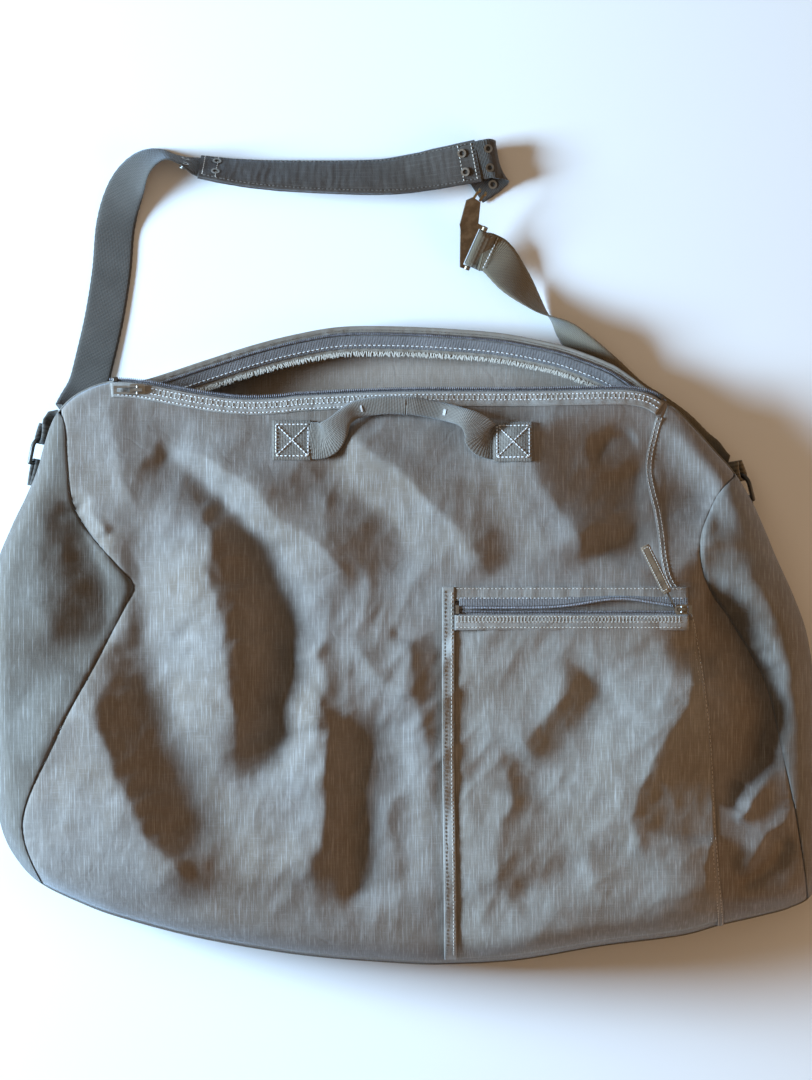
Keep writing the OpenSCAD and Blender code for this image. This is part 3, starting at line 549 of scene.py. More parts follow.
def canvas(name, base, warm, worn, uv=False, slub=1.0, wear=0.5):
    """Faded ripstop cotton: fine slubs along the warp, a faint 4.5 mm grid, worn patches, a soft sheen."""
    m = Mat(name)
    v = m.coords(uv=uv)
    warp = m.noise(m.coords((1150, 46, 60), uv), detail=2.0)
    weft = m.noise(m.coords((60, 1150, 60), uv), detail=2.0)
    patches = m.noise(v, scale=9.0, detail=5.0)
    blots = m.noise(v, scale=38.0, detail=4.0, rough=0.6)
    sx = BAND / 0.0045
    gx = m.wave(v, sx, 0.12, "X")
    gy = m.wave(v, sx, 0.12, "Y")
    lines = m.math("MAXIMUM", m.ramp(gx, 0.93, 1.0), m.ramp(gy, 0.93, 1.0))
    light_rib = m.mul(m.ramp(gx, 0.90, 1.0), m.ramp(warp, 0.40, 0.62))
    fine_x = m.wave(v, sx * 9, 0.3, "X")
    fine_y = m.wave(v, sx * 9, 0.3, "Y")
    weave = m.mul(fine_x, fine_y)
    col = m.mix(m.ramp(patches, 0.38, 0.64), base, warm)
    col = m.mix(m.mul(m.ramp(warp, 0.50, 0.76), 0.60 * slub, True), col, worn)
    col = m.mix(m.mul(m.ramp(weft, 0.55, 0.85), 0.30 * slub, True), col, worn)
    col = m.mix(m.mul(m.ramp(blots, 0.50, 0.72), 0.35 * wear, True), col, worn)
    col = m.mix(m.mul(lines, 0.07), col, (70, 66, 60))
    col = m.mix(m.mul(light_rib, 0.24 * slub), col, (182, 180, 176))
    col = m.mix(m.mul(weave, 0.14), col, worn)
    height = m.add(m.mul(warp, 0.9), m.mul(weft, 0.5))
    height = m.add(height, m.mul(weave, 0.5))
    height = m.add(height, m.mul(lines, 0.25))
    fold = m.math("ABSOLUTE", m.math("SUBTRACT", m.noise(v, scale=26.0, detail=2.0, rough=0.5), 0.5))
    fold = m.math("MAXIMUM", m.ramp(fold, 0.0, 0.06), m.ramp(patches, 0.46, 0.56))
    fold = m.bump(fold, 0.18, 0.0011)
    soft = m.bump(m.noise(v, scale=110.0, detail=4.0), 0.30, 0.0010, fold)
    nrm = m.bump(height, 0.55, 0.00036, soft)
    rough = m.ramp(patches, 0.3, 0.7, 0.78, 0.92)
    return m.done(col, rough, nrm, Sheen_Weight=0.3, Sheen_Roughness=0.4, Sheen_Tint=(196, 210, 224),
                  Specular_IOR_Level=0.32)


def webbing(name, base, worn, dark, pitch, ribs):
    """Coarse cotton webbing in UV space, u across and v along, both in metres."""
    m = Mat(name)
    v = m.coords(uv=True)
    along = m.wave(v, BAND / pitch, 0.6, "Y")
    across = m.wave(v, BAND / ribs, 0.4, "X")
    check = m.wave(v, BAND / pitch * 0.6, 0.5, "DIAGONAL")
    weave = m.mul(along, m.ramp(across, 0.0, 0.6, 0.35, 1.0))
    weave = m.add(m.mul(weave, 0.8), m.mul(check, 0.2))
    patch = m.noise(v, scale=26.0, detail=4.0)
    fuzz = m.noise(v, scale=900.0, detail=2.0)
    col = m.mix(m.ramp(patch, 0.35, 0.68), base, worn)
    col = m.mix(m.ramp(weave, 0.0, 0.55, 0.75, 0.0), col, dark)
    col = m.mix(m.mul(m.ramp(fuzz, 0.55, 0.8), 0.35), col, worn)
    nrm = m.bump(m.add(weave, m.mul(fuzz, 0.25)), 0.75, 0.0007)
    return m.done(col, 0.88, nrm, Sheen_Weight=0.4, Sheen_Roughness=0.45, Sheen_Tint=(200, 214, 226),
                  Specular_IOR_Level=0.3)


def metal(name, base, worn, rough, scale=160.0, amount=0.5):
    """Plated metal with rubbed and tarnished areas."""
    m = Mat(name)
    v = m.coords()
    spots = m.noise(v, scale=scale, detail=5.0, rough=0.65)
    fine = m.noise(v, scale=scale * 7, detail=2.0)
    geo = m.node("ShaderNodeNewGeometry").outputs["Pointiness"]
    edge = m.ramp(geo, 0.50, 0.56)
    fac = m.add(m.mul(m.ramp(spots, 0.45, 0.7), amount), m.mul(edge, 0.6), True)
    col = m.mix(fac, base, worn)
    r = m.add(m.ramp(spots, 0.3, 0.75, rough - 0.1, rough + 0.22), m.mul(fine, 0.06))
    return m.done(col, r, m.bump(fine, 0.25, 0.0002), Metallic=0.92)


def thread(name, base, worn):
    m = Mat("thread_" + name)
    v = m.coords()
    n = m.noise(v, scale=700.0, detail=2.0)
    big = m.noise(v, scale=40.0, detail=3.0)
    col = m.mix(m.ramp(big, 0.4, 0.65, 0.0, 0.5), base, worn)
    col = m.mix(m.ramp(n, 0.5, 0.75, 0.0, 0.5), col, worn)
    return m.done(col, 0.9, m.bump(n, 0.4, 0.0003), Sheen_Weight=0.3)


CANVAS = canvas("canvas_body", (117, 109, 101), (112, 99, 86), (157, 151, 146))
# The left end panel uses the body's canvas painted darker: painted shade for the shadowed left end.
CANVAS_LEFT_END_SHADED = canvas("canvas_left_end_painted_shade", (92, 85, 76), (88, 78, 67), (124, 119, 112))
# The right end panel uses the body's canvas painted a little darker: painted shade on the end that faces away
# from the window.
CANVAS_RIGHT_END_SHADED = canvas("canvas_right_end_painted_shade", (112, 105, 97), (108, 98, 86), (150, 147, 142))
CANVAS_UV = canvas("canvas_sides", (118, 112, 103), (116, 106, 94), (152, 149, 144), uv=True)
POCKET = canvas("canvas_pocket", (124, 117, 108), (117, 105, 92), (168, 163, 157))
TRIM = canvas("canvas_trim", (146, 141, 134), (126, 116, 104), (176, 173, 168), uv=True, slub=0.7, wear=0.9)
HEM = canvas("canvas_hem", (130, 121, 109), (118, 107, 93), (160, 155, 148), uv=True, slub=0.7, wear=0.9)
LINING = canvas("canvas_lining", (160, 146, 133), (142, 126, 110), (184, 174, 164), wear=0.3)
WEB = webbing("webbing_grey", (77, 71, 64), (92, 86, 79), (54, 49, 43), pitch=0.0014, ribs=0.0015)
WEB_OLIVE = webbing("webbing_olive", (116, 104, 84), (130, 118, 98), (84, 74, 58), pitch=0.0013, ribs=0.0014)
WEB_HANDLE = webbing("webbing_handle", (112, 103, 92), (142, 134, 124), (66, 59, 50), pitch=0.0015,
                     ribs=0.0017)
TAPE = webbing("zip_tape", (108, 104, 102), (134, 131, 130), (72, 69, 68), pitch=0.0016, ribs=0.0016)
PAD = canvas("canvas_pad", (74, 66, 59), (66, 58, 50), (104, 98, 92), uv=True, slub=0.3)
COIL = metal("zip_coil", (92, 90, 94), (160, 160, 166), 0.35, 300.0, 0.7)
COIL.node_tree.nodes["Principled BSDF"].inputs["Metallic"].default_value = 0.35
DARK_METAL = metal("gunmetal", (78, 74, 70), (150, 145, 136), 0.34)
BRONZE = metal("dark_bronze", (84, 75, 64), (142, 127, 104), 0.4, 140.0, 0.55)
BRASS_DARK = metal("aged_brass", (84, 72, 56), (166, 142, 104), 0.36, 140.0, 0.4)
RING = metal("ring_black", (52, 50, 48), (110, 106, 100), 0.4)
THREADS = {name: thread(name, base, worn) for name, base, worn in (
    ("light", (196, 188, 174), (222, 216, 206)), ("white", (205, 202, 198), (228, 226, 222)),
    ("dark", (84, 74, 64), (120, 110, 98)), ("fray", (192, 184, 170), (224, 218, 206)))}


def leather():
    m = Mat("tab_leather")
    v = m.coords()
    grain = m.node("ShaderNodeTexVoronoi", Scale=1100.0)
    m.set(grain.inputs["Vector"], v)
    mottle = m.noise(v, scale=120.0, detail=4.0)
    col = m.mix(m.ramp(mottle, 0.35, 0.7), (92, 74, 54), (126, 106, 82))
    nrm = m.bump(grain.outputs["Distance"], 0.35, 0.0003)
    return m.done(col, m.ramp(mottle, 0.3, 0.7, 0.5, 0.7), nrm)


LEATHER = leather()

# ---- the bag's cloth

xl, xf, xr = by_rows(LEFT_SEAM), by_rows(FELLED), by_rows(RIGHT_SEAM)
ROW_T = np.linspace(0, 1, 190)


def rows_between(xa, xb, cols):
    """The bag's cloth between two seams, in rows from the base edge to the upper edge."""
    s, t = np.linspace(0, 1, cols), ROW_T[:, None]
    X = xa(ROW_T)[:, None] * (1 - s) + xb(ROW_T)[:, None] * s
    return surface(X, y_low(X) * (1 - t) + y_high(X) * t)


cloth("front_panel", rows_between(xl, xf, 210), CANVAS)
cloth("side_strip", rows_between(xf, xr, 34), CANVAS)


def under(edge, inset, levels):
    """Rows of points that curl from an edge of the upper surface down to the floor."""
    out = []
    for k in range(levels):
        f = math.sin(0.5 * math.pi * k / (levels - 1))
        p = edge.copy()
        p[:, 2] = edge[:, 2] + (2.2 - edge[:, 2]) * f
        p[:, :2] += inset * f ** 1.6
        out.append(p)
    return out


def inward(edge, depth, sign):
    """Directions in from an outline, depth long."""
    d = np.gradient(edge[:, :2], axis=0)
    n = np.stack([-d[:, 1], d[:, 0]], 1) * sign
    return depth * n / np.linalg.norm(n, axis=1, keepdims=True)


def ripple(g, amount, seed):
    """Soft dents over a wall, none along its first and last rows."""
    uv = arc_uv(g)
    k = np.linspace(0, 1, g.shape[0])[:, None]
    ease = (np.sin(np.pi * k) ** 0.8)
    h = amount * (noise(uv[..., 0] / 60, uv[..., 1] / 46, seed) * 1.6
                  + 0.5 * (creases(uv[..., 0], uv[..., 1], 30, seed + 2, 0.5, 1.6) - 0.6))
    return g + grid_normals(g) * (h * ease)[..., None]


def end_wall(name, seam_line, outline, sign, mat, seed):
    """An end panel: from its seam over the widest line of the bag and under to the floor."""
    rows = [surface(*(seam_line * (1 - k) + outline * k).T) for k in np.linspace(0, 1, 26)[:-1] ** 0.85]
    edge = surface(*outline.T)
    g = np.array(rows + under(edge, inward(edge, 40, sign), 14))
    g[25:] = ripple(g[25:], 3.0, seed)
    g = g[:, ::sign]
    cloth(name, g, mat, arc_uv(g))


def wall(name, line, depth, sign, seed, amount):
    """A wall that curls under from an outline where the upper surface ends."""
    edge = surface(*line.T)
    g = ripple(np.array(under(edge, inward(edge, 1, sign) * depth[:, None], 16)), amount, seed)
    g = g[:, ::sign]
    cloth(name, g, CANVAS_UV, arc_uv(g))


left_out = LEFT_C[(LEFT_C[:, 1] > -199) & (LEFT_C[:, 1] < 254.5) & (LEFT_C[:, 0] < -332)]
right_out = np.concatenate([LOWER_C[LOWER_C[:, 0] > 386], UPPER_C[UPPER_C[:, 0] > 316][::-1]])
base_line = LOWER_C[(LOWER_C[:, 0] > -352) & (LOWER_C[:, 0] < 388) & (LOWER_C[:, 1] < -190)]
left_yoke = UPPER_C[(UPPER_C[:, 0] > -338) & (UPPER_C[:, 0] < -280) & (UPPER_C[:, 1] > 246)]
right_yoke = UPPER_C[(UPPER_C[:, 0] > 244) & (UPPER_C[:, 0] < 320)]
end_wall("end_panel_left", catmull(LEFT_SEAM[:-1], 150), catmull(left_out, 150), -1, CANVAS_LEFT_END_SHADED, 21)
end_wall("end_panel_right", catmull(RIGHT_SEAM[2:], 150), catmull(right_out, 150), 1, CANVAS_RIGHT_END_SHADED, 33)
wall("base_panel", catmull(base_line, 200), np.full(200, 24.0), 1, 41, 2.5)
wall("end_yoke_left", catmull(left_yoke, 40), np.linspace(40, 22, 40), -1, 51, 1.0)
wall("end_yoke_right", catmull(right_yoke, 60), np.linspace(22, 40, 60), -1, 55, 1.0)

# ---- back panel and its arched hem

ARCH = catmull([(-272, 283), (-246, 289), (-196, 306), (-147, 322), (-104, 333), (-60, 340), (0, 340),
                (55, 337), (95, 333), (131, 326), (158, 319), (196, 304), (214, 293), (232, 279), (246, 265)],
               220)
ARCH_Z = 23 + 34 * (1 - np.sin(np.pi * np.linspace(0, 1, 220)) ** 0.62)
ARCH3 = np.column_stack([ARCH, ARCH_Z])


def back_sheet(rows=120, cols=150):
    """The back panel: flat on the floor, and lifted to the arched hem at the mouth."""
    s, v = np.linspace(0, 1, cols), np.linspace(0, 1, rows)
    arch = catmull(ARCH3, cols)
    left = catmull([(-322, -180), (-360, -120), (-374, 0), (-368, 100), (-340, 190), (-300, 246), (-274, 268)],
                   rows)
    right = catmull([(362, -186), (374, -110), (368, -10), (348, 80), (312, 150), (272, 206), (236, 246)], rows)
    base = -45.0 * (1 - (2 * s - 1) ** 2)
    end = np.abs(2 * s - 1) ** 5
    g = np.zeros((rows, cols, 3))
    for i in range(rows):
        k = smooth(0.0, 1.0, v[i]) ** 2.2
        row = left[i][None] * (1 - s[:, None]) + right[i][None] * s[:, None]
        x = row[:, 0] * (1 - k) + arch[:, 0] * k
        y = (row[:, 1] + base * (1 - v[i]) ** 2) * (1 - k) + arch[:, 1] * k
        rise = smooth(0.0, 1.0, (v[i] - 0.80) / 0.14)
        z = 1.4 + (arch[:, 2] - 1.4) * (rise * (1 - end) + end * smooth(0, 1, (v[i] - 0.80) / 0.2))
        g[i] = np.column_stack([x, y, z])
    g[..., 2] += 0.7 * (1 + noise(g[..., 0] / 40, g[..., 1] / 40, 61)) * smooth(1.5, 8, g[..., 2])
    return g


back = back_sheet()
slab("back_panel", back, back - UP * 1.2, LINING, ("bag", "mouth", (0, 236, 0), (0, 300, 0)),
     ["back_panel"])

# Lines on the arched hem, by distance in from its edge.
arch = catmull(ARCH3, 300)
arch_run = unit(np.gradient(arch, axis=0))
arch_in = unit(np.stack([arch_run[:, 1], -arch_run[:, 0], 0 * arch_run[:, 0]], 1))
arch_drop = 0.05 + 0.32 * np.sin(np.linspace(0, np.pi, 300)) ** 2


def arch_line(inward, h):
    p = arch + arch_in * inward
    p[:, 2] += h - arch_drop * inward * 0.55
    return p


def band(name, line, body, span, h, thick, mat, cols, pucker, waves):
    """A sewn band between two distances in from a hem. waves sets the rhythm of its puckers."""
    d = np.linspace(*span, cols)
    g = np.stack([line(x, h) for x in d])
    rate, bend, cell, seed, fine, fine_seed = waves
    u = arc_uv(g)[..., 0]
    loose = pucker * np.sin(np.linspace(0, np.pi, cols))[:, None]
    g[..., 2] += loose * (np.sin(u * rate + bend * noise(u / cell, u * 0, seed)) * 0.5
                          + noise(u / fine, u * 0, fine_seed))
    g, uv = face_up(g, np.stack([np.broadcast_to(d[:, None], g.shape[:2]), arc_uv(g)[..., 0]], 2))
    slab(name, g, g - UP * thick, mat, body, [name], uv)


BACK, FRONT = (0.55, 2.5, 24, 5, 14, 9), (0.6, 2, 30, 4, 13, 7)
band("back_hem_band", arch_line, "mouth", (0.0, 27), 1.6, 1.4, HEM, 16, 0.9, BACK)
band("back_zip_tape", arch_line, "mouth", (9.5, 21.5), 2.6, 0.7, TAPE, 7, 0.2, BACK)
sew(("stitches_back_zip", "mouth", "white"), arch_line(18.6, 2.75), UP, 3.4, 1.2, 0.45)
sew(("stitches_back_hem", "mouth", "dark"), arch_line(4.0, 2.1), UP, 2.6, 1.2, 0.3)

# Frayed, overlocked inner edge of the back hem.
edge_line = arch_line(26.5, 2.2)
for k in range(2, 297):
    for j in range(2):
        p = edge_line[k] + arch_run[k] * RNG.uniform(-0.9, 0.9)
        out = arch_in[k] * RNG.uniform(1.6, 3.4) + arch_run[k] * RNG.uniform(-1.6, 1.6)
        stitch(("overlock_back_hem", "mouth", "fray"), p - out * 0.8, p + out, UP + RNG.normal(0, 0.2, 3), 0.36)

# ---- zips


def coil(name, line, side, body, pitch=1.9, loop=3.0, r=0.5, core=0.8):
    """A coil of small loops along a line. side points to the free edge."""
    total = reach(line)[-1]
    side = np.broadcast_to(side, line.shape)
    n, count = max(4, int(total / 3)), int(total / pitch)
    c, sd = catmull(line, n), catmull(side, n)
    turn = np.linspace(0, 2 * math.pi, 7)[:-1, None]
    tube = c[:, None] + sd[:, None] * (np.cos(turn) * core) + UP * (np.sin(turn) * core)
    c, sd = catmull(line, count), catmull(side, count)
    run = unit(np.gradient(c, axis=0))
    rod = capsule_verts(loop, r)
    parts = [c[k] + sd[k] * (loop * 0.22) + rod[:, :1] * sd[k] + rod[:, 1:2] * run[k]
             + (rod[:, 2:] * 1.5 + 0.45) * UP for k in range(count)]
    faces = tube_faces(n, 6, outward=False) + repeated(CAP_FACES, len(rod), count, n * 6)
    mesh(name, np.concatenate([tube.reshape(-1, 3)] + parts), faces, COIL, body, [name])


coil("back_zip_coil", arch_line(8.0, 3.0)[3:-3], -arch_in[3:-3], "mouth")

hem_x = np.linspace(MOUTH_L + 3, MOUTH_R - 3, 320)


def hem_line(inward, h):
    """A line along the front hem, by distance in from its edge."""
    y = y_high(hem_x)
    d = unit(np.gradient(np.column_stack([hem_x, y]), axis=0))
    px, py = hem_x + d[:, 1] * inward, y - d[:, 0] * inward
    z = top_z(px, np.clip(py, None, y_high(px) - 0.4))
    return np.column_stack([px, py, z + h])


band("front_hem_band", hem_line, "bag", (0.6, 15.0), 1.5, 1.4, TRIM, 12, 0.5, FRONT)
band("front_zip_tape", hem_line, "bag", (-1.6, 9.0), -1.8, 0.7, TAPE, 6, 0.0, FRONT)
front_coil = hem_line(-2.2, -0.6)
coil("front_zip_coil", front_coil, (0.0, 1.0, 0.0), "bag")


def clip(c, along):
    """A metal clip with chamfered top edges, pinched round the end of a coil."""
    out = np.array([-along[1], along[0], 0.0])
    length, width, height = 2.2, 2.4, 1.7
    prof = [(-width, -height), (-width, height * 0.45), (-width * 0.6, height), (width * 0.6, height),
            (width, height * 0.45), (width, -height)]
    ends = ((-length, 0.82), (-length * 0.8, 1.0), (length * 0.8, 1.0), (length, 0.82))
    return [c + along * a + out * (y * k) + UP * (z * k) for a, k in ends for y, z in prof]


stops = []
for k in (3, 316):
    run = front_coil[k + 1] - front_coil[k - 1]
    run[2] = 0
    stops += clip(front_coil[k] + UP * 0.4, run / np.linalg.norm(run))
mesh("main_zip_stops_visual", stops, repeated(tube_faces(4, 6), 24, 2), DARK_METAL, "bag",
     ["main_zip_stops"], shade=False)
HEM_UP = (0.0, 0.25, 1.0)
for d in (3.6, 8.6, 13.2):
    line = hem_line(d, 1.75)[slice(24, 320) if d < 10 else slice(4, 150)]
    sew(("stitches_front_hem", "bag", "white"), line, HEM_UP, 2.7, 1.1, 0.5)
ladder_a, ladder_b = hem_line(4.4, 1.7), hem_line(7.9, 1.7)
for k in range(26, 314, 3):
    stitch(("stitches_front_hem", "bag", "light"), ladder_a[k], ladder_b[k], HEM_UP, 0.26)

# ---- seams on the cloth


def on_cloth(line, h):
    """Points at height h along the cloth's normals over a line, and those normals."""
    X, Y = line.T
    e = 1.5
    zx = (top_z(X + e, Y) - top_z(X - e, Y)) / (2 * e)
    zy = (top_z(X, Y + e) - top_z(X, Y - e)) / (2 * e)
    n = unit(np.column_stack([-zx, -zy, np.ones(len(X))]))
    return surface(X, Y) + n * h, n


def beside(line, d):
    g = unit(np.gradient(line, axis=0))
    return line + np.stack([-g[:, 1], g[:, 0]], 1) * d


felled = catmull(FELLED[:-4], 400)


def felled_cord():
    """The raised edge of the flat-felled seam."""
    edge = ((-0.8, 0.0), (0.0, 0.7), (1.6, 0.9), (4.0, 0.8), (5.6, 0.6), (6.6, -0.1))
    g = np.array([on_cloth(beside(felled, d), h)[0] for d, h in edge])
    slab("felled_seam", g, g - UP * 1.6, CANVAS, "bag")
    for d in (1.2, 4.9):
        sew(("stitches_felled", "bag", "light"), *on_cloth(beside(felled, d), 0.85), 3.0, 1.4, 0.3)


# ---- pocket

PX0, P_TOP = 46.0, 53.0


def pocket_surface(cols=120, rows=150):
    """The pocket's panel, which puffs up a little between its sewn edges."""
    t, s = np.linspace(0, 1, rows)[:, None], np.linspace(0, 1, cols)
    right = np.interp(np.linspace(-236, P_TOP, rows), FELLED[:, 1], FELLED[:, 0])[:, None] - 1.0
    X = PX0 * (1 - s) + right * s
    Y = (y_low(X) + 3.0) * (1 - t) + P_TOP * t
    edge = np.minimum(s * (right - PX0), (1 - s) * (right - PX0))
    puff = smooth(0, 42, edge) * smooth(0, 40, Y - y_low(X))
    mouth_open = smooth(P_TOP - 60, P_TOP, Y) * smooth(0.1, 0.5, s) * smooth(0, 0.2, 1 - s)
    z = top_z(X, Y) + (1.9 + 3.8 * puff + 1.6 * mouth_open)
    z = z + 1.2 * puff * (creases(X, Y, 34, 71, angle=0.9, stretch=2.0) - 0.5)
    return np.stack([X, Y, z], 2)


cloth("pocket_panel", pocket_surface(), POCKET)
felled_cord()


def flat_band(name, xs, ys, lift, thick, mat, pucker, seed, nodes, bend=None):
    """A narrow sewn band on the front along x, or along y where bend shapes it."""
    X, Y = np.meshgrid(xs, ys)
    if bend:
        X, Y = bend(X, Y)
    u = Y if bend else X
    g = over(X, Y, lift)
    g[..., 2] += pucker * noise(u / 9, 0 * u, seed)
    uv = np.stack([X - xs[0], Y] if bend else [Y - ys[0], X], 2)
    slab(name, g, g - UP * thick, mat, "bag", nodes, uv)


def binding_bend(X, Y):
    X = X + 2.2 * smooth(-60, -270, Y)
    return X, np.maximum(Y, y_low(X) + 1.5)


flat_band("pocket_binding", np.linspace(34.5, 46.5, 9), np.linspace(-272, 84, 180), 4.6, 4.2, TRIM, 0.7, 81,
          ["pocket_binding"], binding_bend)
for x, mat in ((37.0, "dark"), (43.6, "light")):
    line = over(*binding_bend(np.full(300, x), np.linspace(-268, 82, 300)), 4.85)
    sew(("stitches_pocket_binding", "bag", mat), line, UP, 2.6, 1.3, 0.36)

flat_band("pocket_facing", np.linspace(46.5, 270, 110), np.linspace(70.5, 84.5, 9), 3.0, 2.6, POCKET, 0.8, 83,
          ["pocket_facing"])
row_x = np.linspace(48, 266, 260)
for y, mat in ((73.2, "white"), (82.4, "light")):
    sew(("stitches_pocket", "bag", mat), over(row_x, y, 3.2), UP, 2.4, 1.3, 0.3)

# The pocket's zip. The loose upper half of it bows up its panel.
zip_x = np.linspace(51.0, 270.0, 200)
up_y = ZIP_Y + 2.4 + 8.5 * np.exp(-((zip_x - 205) / 42.0) ** 2)
low_y = np.full(200, ZIP_Y - 2.4) + 0.5 * noise(zip_x / 40, zip_x * 0, 3)


def pocket_tape(name, y_edge, y_far, h_far, h_edge=6.6):
    rows = []
    for k in np.linspace(0, 1, 6):
        y = y_edge * (1 - k) + y_far * k
        rows.append(np.column_stack([zip_x, y, top_z(zip_x, y) + h_edge * (1 - k) + h_far * k]))
    g = np.array(rows)
    g, uv = face_up(g, np.stack([g[..., 1] - ZIP_Y, g[..., 0]], 2))
    slab(name, g, g - UP * 0.7, TAPE, "bag", [name], uv)


pocket_tape("pocket_tape_upper", up_y + 1.0, 76.0, 2.0)
pocket_tape("pocket_tape_lower", low_y - 1.0, 50.0, 6.2)
for name, y, side in (("pocket_coil_upper", up_y, -1.0), ("pocket_coil_lower", low_y, 1.0)):
    coil(name, over(zip_x, y, 7.2), (0.0, side, 0.0), "bag", pitch=1.5, loop=2.4, r=0.4, core=0.6)

# Ladder stitching under the pocket zip.
flat_band("pocket_zip_binding", np.linspace(46.5, 271, 110), np.linspace(42.5, 57.0, 8), 6.9, 1.3, TRIM,
          0.6, 85, [])
for y in (45.0, 50.2, 55.2):
    sew(("stitches_pocket", "bag", "light"), over(row_x, y, 7.2), UP, 2.5, 1.1, 0.36)
for x in row_x[2:258:4]:
    stitch(("stitches_pocket", "bag", "light"), over(x, 50.8, 7.15), over(x, 54.6, 7.15), UP, 0.24)

# ---- handles

def patch_point(cx, cy, x, y, h):
    """A point over a handle patch, which lies flatter than the cloth under it."""
    z = top_z(x, y) * 0.65 + 0.35 * float(top_z(cx, cy)) - 0.35 * (y - cy) * 0.34
    return np.stack([x, y, z + h], -1)


PATCH = 38.0                     # width of a handle patch and of the webbing
for name, cx, cy in (("left", -109.5, 227.0), ("right", 103.0, 225.0)):
    X, Y = np.meshgrid(np.linspace(cx - PATCH / 2, cx + PATCH / 2, 18), np.linspace(cy - 19.5, cy + 19.5, 18))
    g = patch_point(cx, cy, X, Y, 2.6)
    slab("front_handle_patch_" + name, g, g - UP * 2.4, WEB_HANDLE, "bag", ["front_handle_patches"],
         np.stack([Y - cy, X - cx], 2))
    # a box of stitches and its cross
    a, b, c, d = (cx - 15.5, cy - 15.5), (cx + 15.5, cy - 15.5), (cx + 15.5, cy + 15.5), (cx - 15.5, cy + 15.5)
    t = np.linspace(0, 1, 24)
    for p, q in ((a, b), (b, c), (c, d), (d, a), (a, c), (b, d)):
        line = patch_point(cx, cy, p[0] * (1 - t) + q[0] * t, p[1] * (1 - t) + q[1] * t, 2.75)
        sew(("stitches_handle_patches", "bag", "white"), line, (0, 0.3, 1.0), 3.0, 0.9, 0.62)


def grip_half(name, side, root, points):
    """Half of the folded grip, from a flat end at its patch to the folded middle."""
    n = 110
    c, a, m, s = frames(points, n)
    k = smooth(0.10, 0.46, s / s[-1])
    half_w = 19 * (1 - k) + 8.7 * k
    half_t = 1.15 * (1 - k) + 4.2 * k
    ang = np.linspace(0, 2 * np.pi, 29)[:-1]
    co, si = np.cos(ang), np.sin(ang)
    rows = []
    for i in range(n):
        e = 0.32 + 0.30 * k[i]
        cw = np.sign(co) * np.abs(co) ** (e + 0.25)
        ct = np.sign(si) * np.abs(si) ** e
        squeeze = 1 - 0.1 * k[i] * np.exp(-((cw + 0.2) / 0.25) ** 2)
        rows.append(c[i] + a[i] * (cw * half_w[i])[:, None] + m[i] * (ct * half_t[i] * squeeze)[:, None])
    g = np.array(rows)
    C = len(ang)
    faces = tube_faces(n, C)[:-2]
    faces += [(n * C, (j + 1) % C, j) for j in range(C)]
    faces += [(n * C + 1, (n - 1) * C + j, (n - 1) * C + (j + 1) % C) for j in range(C)]
    uv = np.stack(np.broadcast_arrays(np.linspace(0, 76, C)[None], s[:, None]), 2).reshape(-1, 2)
    uv = np.concatenate([uv, [[38, 0], [38, s[-1]]]])
    blend = ("bag", "front_handle", (*root, 80), (root[0] - side * 24, root[1], 80))
    mesh("front_handle_grip_" + name, np.concatenate([g.reshape(-1, 3), g.mean(axis=1)[[0, -1]]]), faces,
         WEB_HANDLE, blend, ["front_handle_grip"], uv)
    # a short bartack near the start of the folded part
    i = int(n * 0.60)
    run = c[i + 1] - c[i]
    run = run / np.linalg.norm(run)
    for j in range(4 if side > 0 else 2):
        p = c[i] + run * ((j - 1) * 0.8) + m[i] * (half_t[i] + 0.1)
        stitch(("stitches_grip", "front_handle", "white"), p - a[i] * 3.4, p + a[i] * 3.4, m[i], 0.4)


z = float(top_z(-93, 227))
grip_half("left", -1, (-92.0, 227.0), [
    (-94, 227, z + 2.6, 0, 1, -0.34), (-85, 226.5, z + 4.2, 0.05, 1, -0.3),
    (-76, 229, z + 7.5, -0.35, 0.95, -0.2), (-68, 237, z + 9, -0.75, 0.7, -0.05),
    (-59, 249, z + 6, -0.6, 0.8, 0.1), (-46, 257, 84, -0.22, 1, 0.15),
    (-22, 260.5, 85, -0.05, 1, 0.15), (0, 260.2, 85.5, 0.03, 1, 0.15)])
z = float(top_z(86, 226))
grip_half("right", 1, (85.0, 226.0), [
    (88, 226, z + 2.6, 0, -1, 0.34), (80, 226, z + 4.4, 0, -1, 0.3), (73.5, 230, z + 8, -0.5, -0.85, 0.1),
    (67.5, 239, z + 9.5, -0.8, -0.6, 0), (56, 247.8, z + 8, -0.5, -0.85, -0.1), (34, 255, 85, -0.2, -1, -0.15),
    (8, 259.8, 85.5, -0.08, -1, -0.15), (0, 260.2, 85.5, -0.03, -1, -0.15)])

# Back handle, flat under the bag.
for name, body, x0, x1, cols, z, node in (
        ("back_handle_grip", "back_handle", -86, 86, 60, 0.6, "back_handle_grip"),
        ("back_handle_patch_left", "bag", -125, -87, 14, 0.4, "back_handle_patches"),
        ("back_handle_patch_right", "bag", 87, 125, 14, 0.4, "back_handle_patches")):
    X, Y = np.meshgrid(np.linspace(x0, x1, cols), np.linspace(208, 246, 12))
    g = np.stack([X, Y, 0 * X + z], 2)
    slab(name, g + UP * 1.6, g, WEB_HANDLE, body, [node], np.stack([Y, X], 2))

# ---- strap

# Each D-ring: its centre, the direction of its bar, and the way from its tab to the strap.
RINGS = {"left": ((-346.45, 205.96, 16.59), (-0.761, 0.118, 0.638), (0.197, 0.979, 0.054)),
         "right": ((318.75, 170.82, 17.31), (0.736, 0.094, 0.67), (-0.252, 0.957, 0.143))}
RING_LEN = 25


def ring_at(name, d):
    pos, bar, along = RINGS[name]
    return (*(np.array(pos) + np.array(along) * d), *bar)


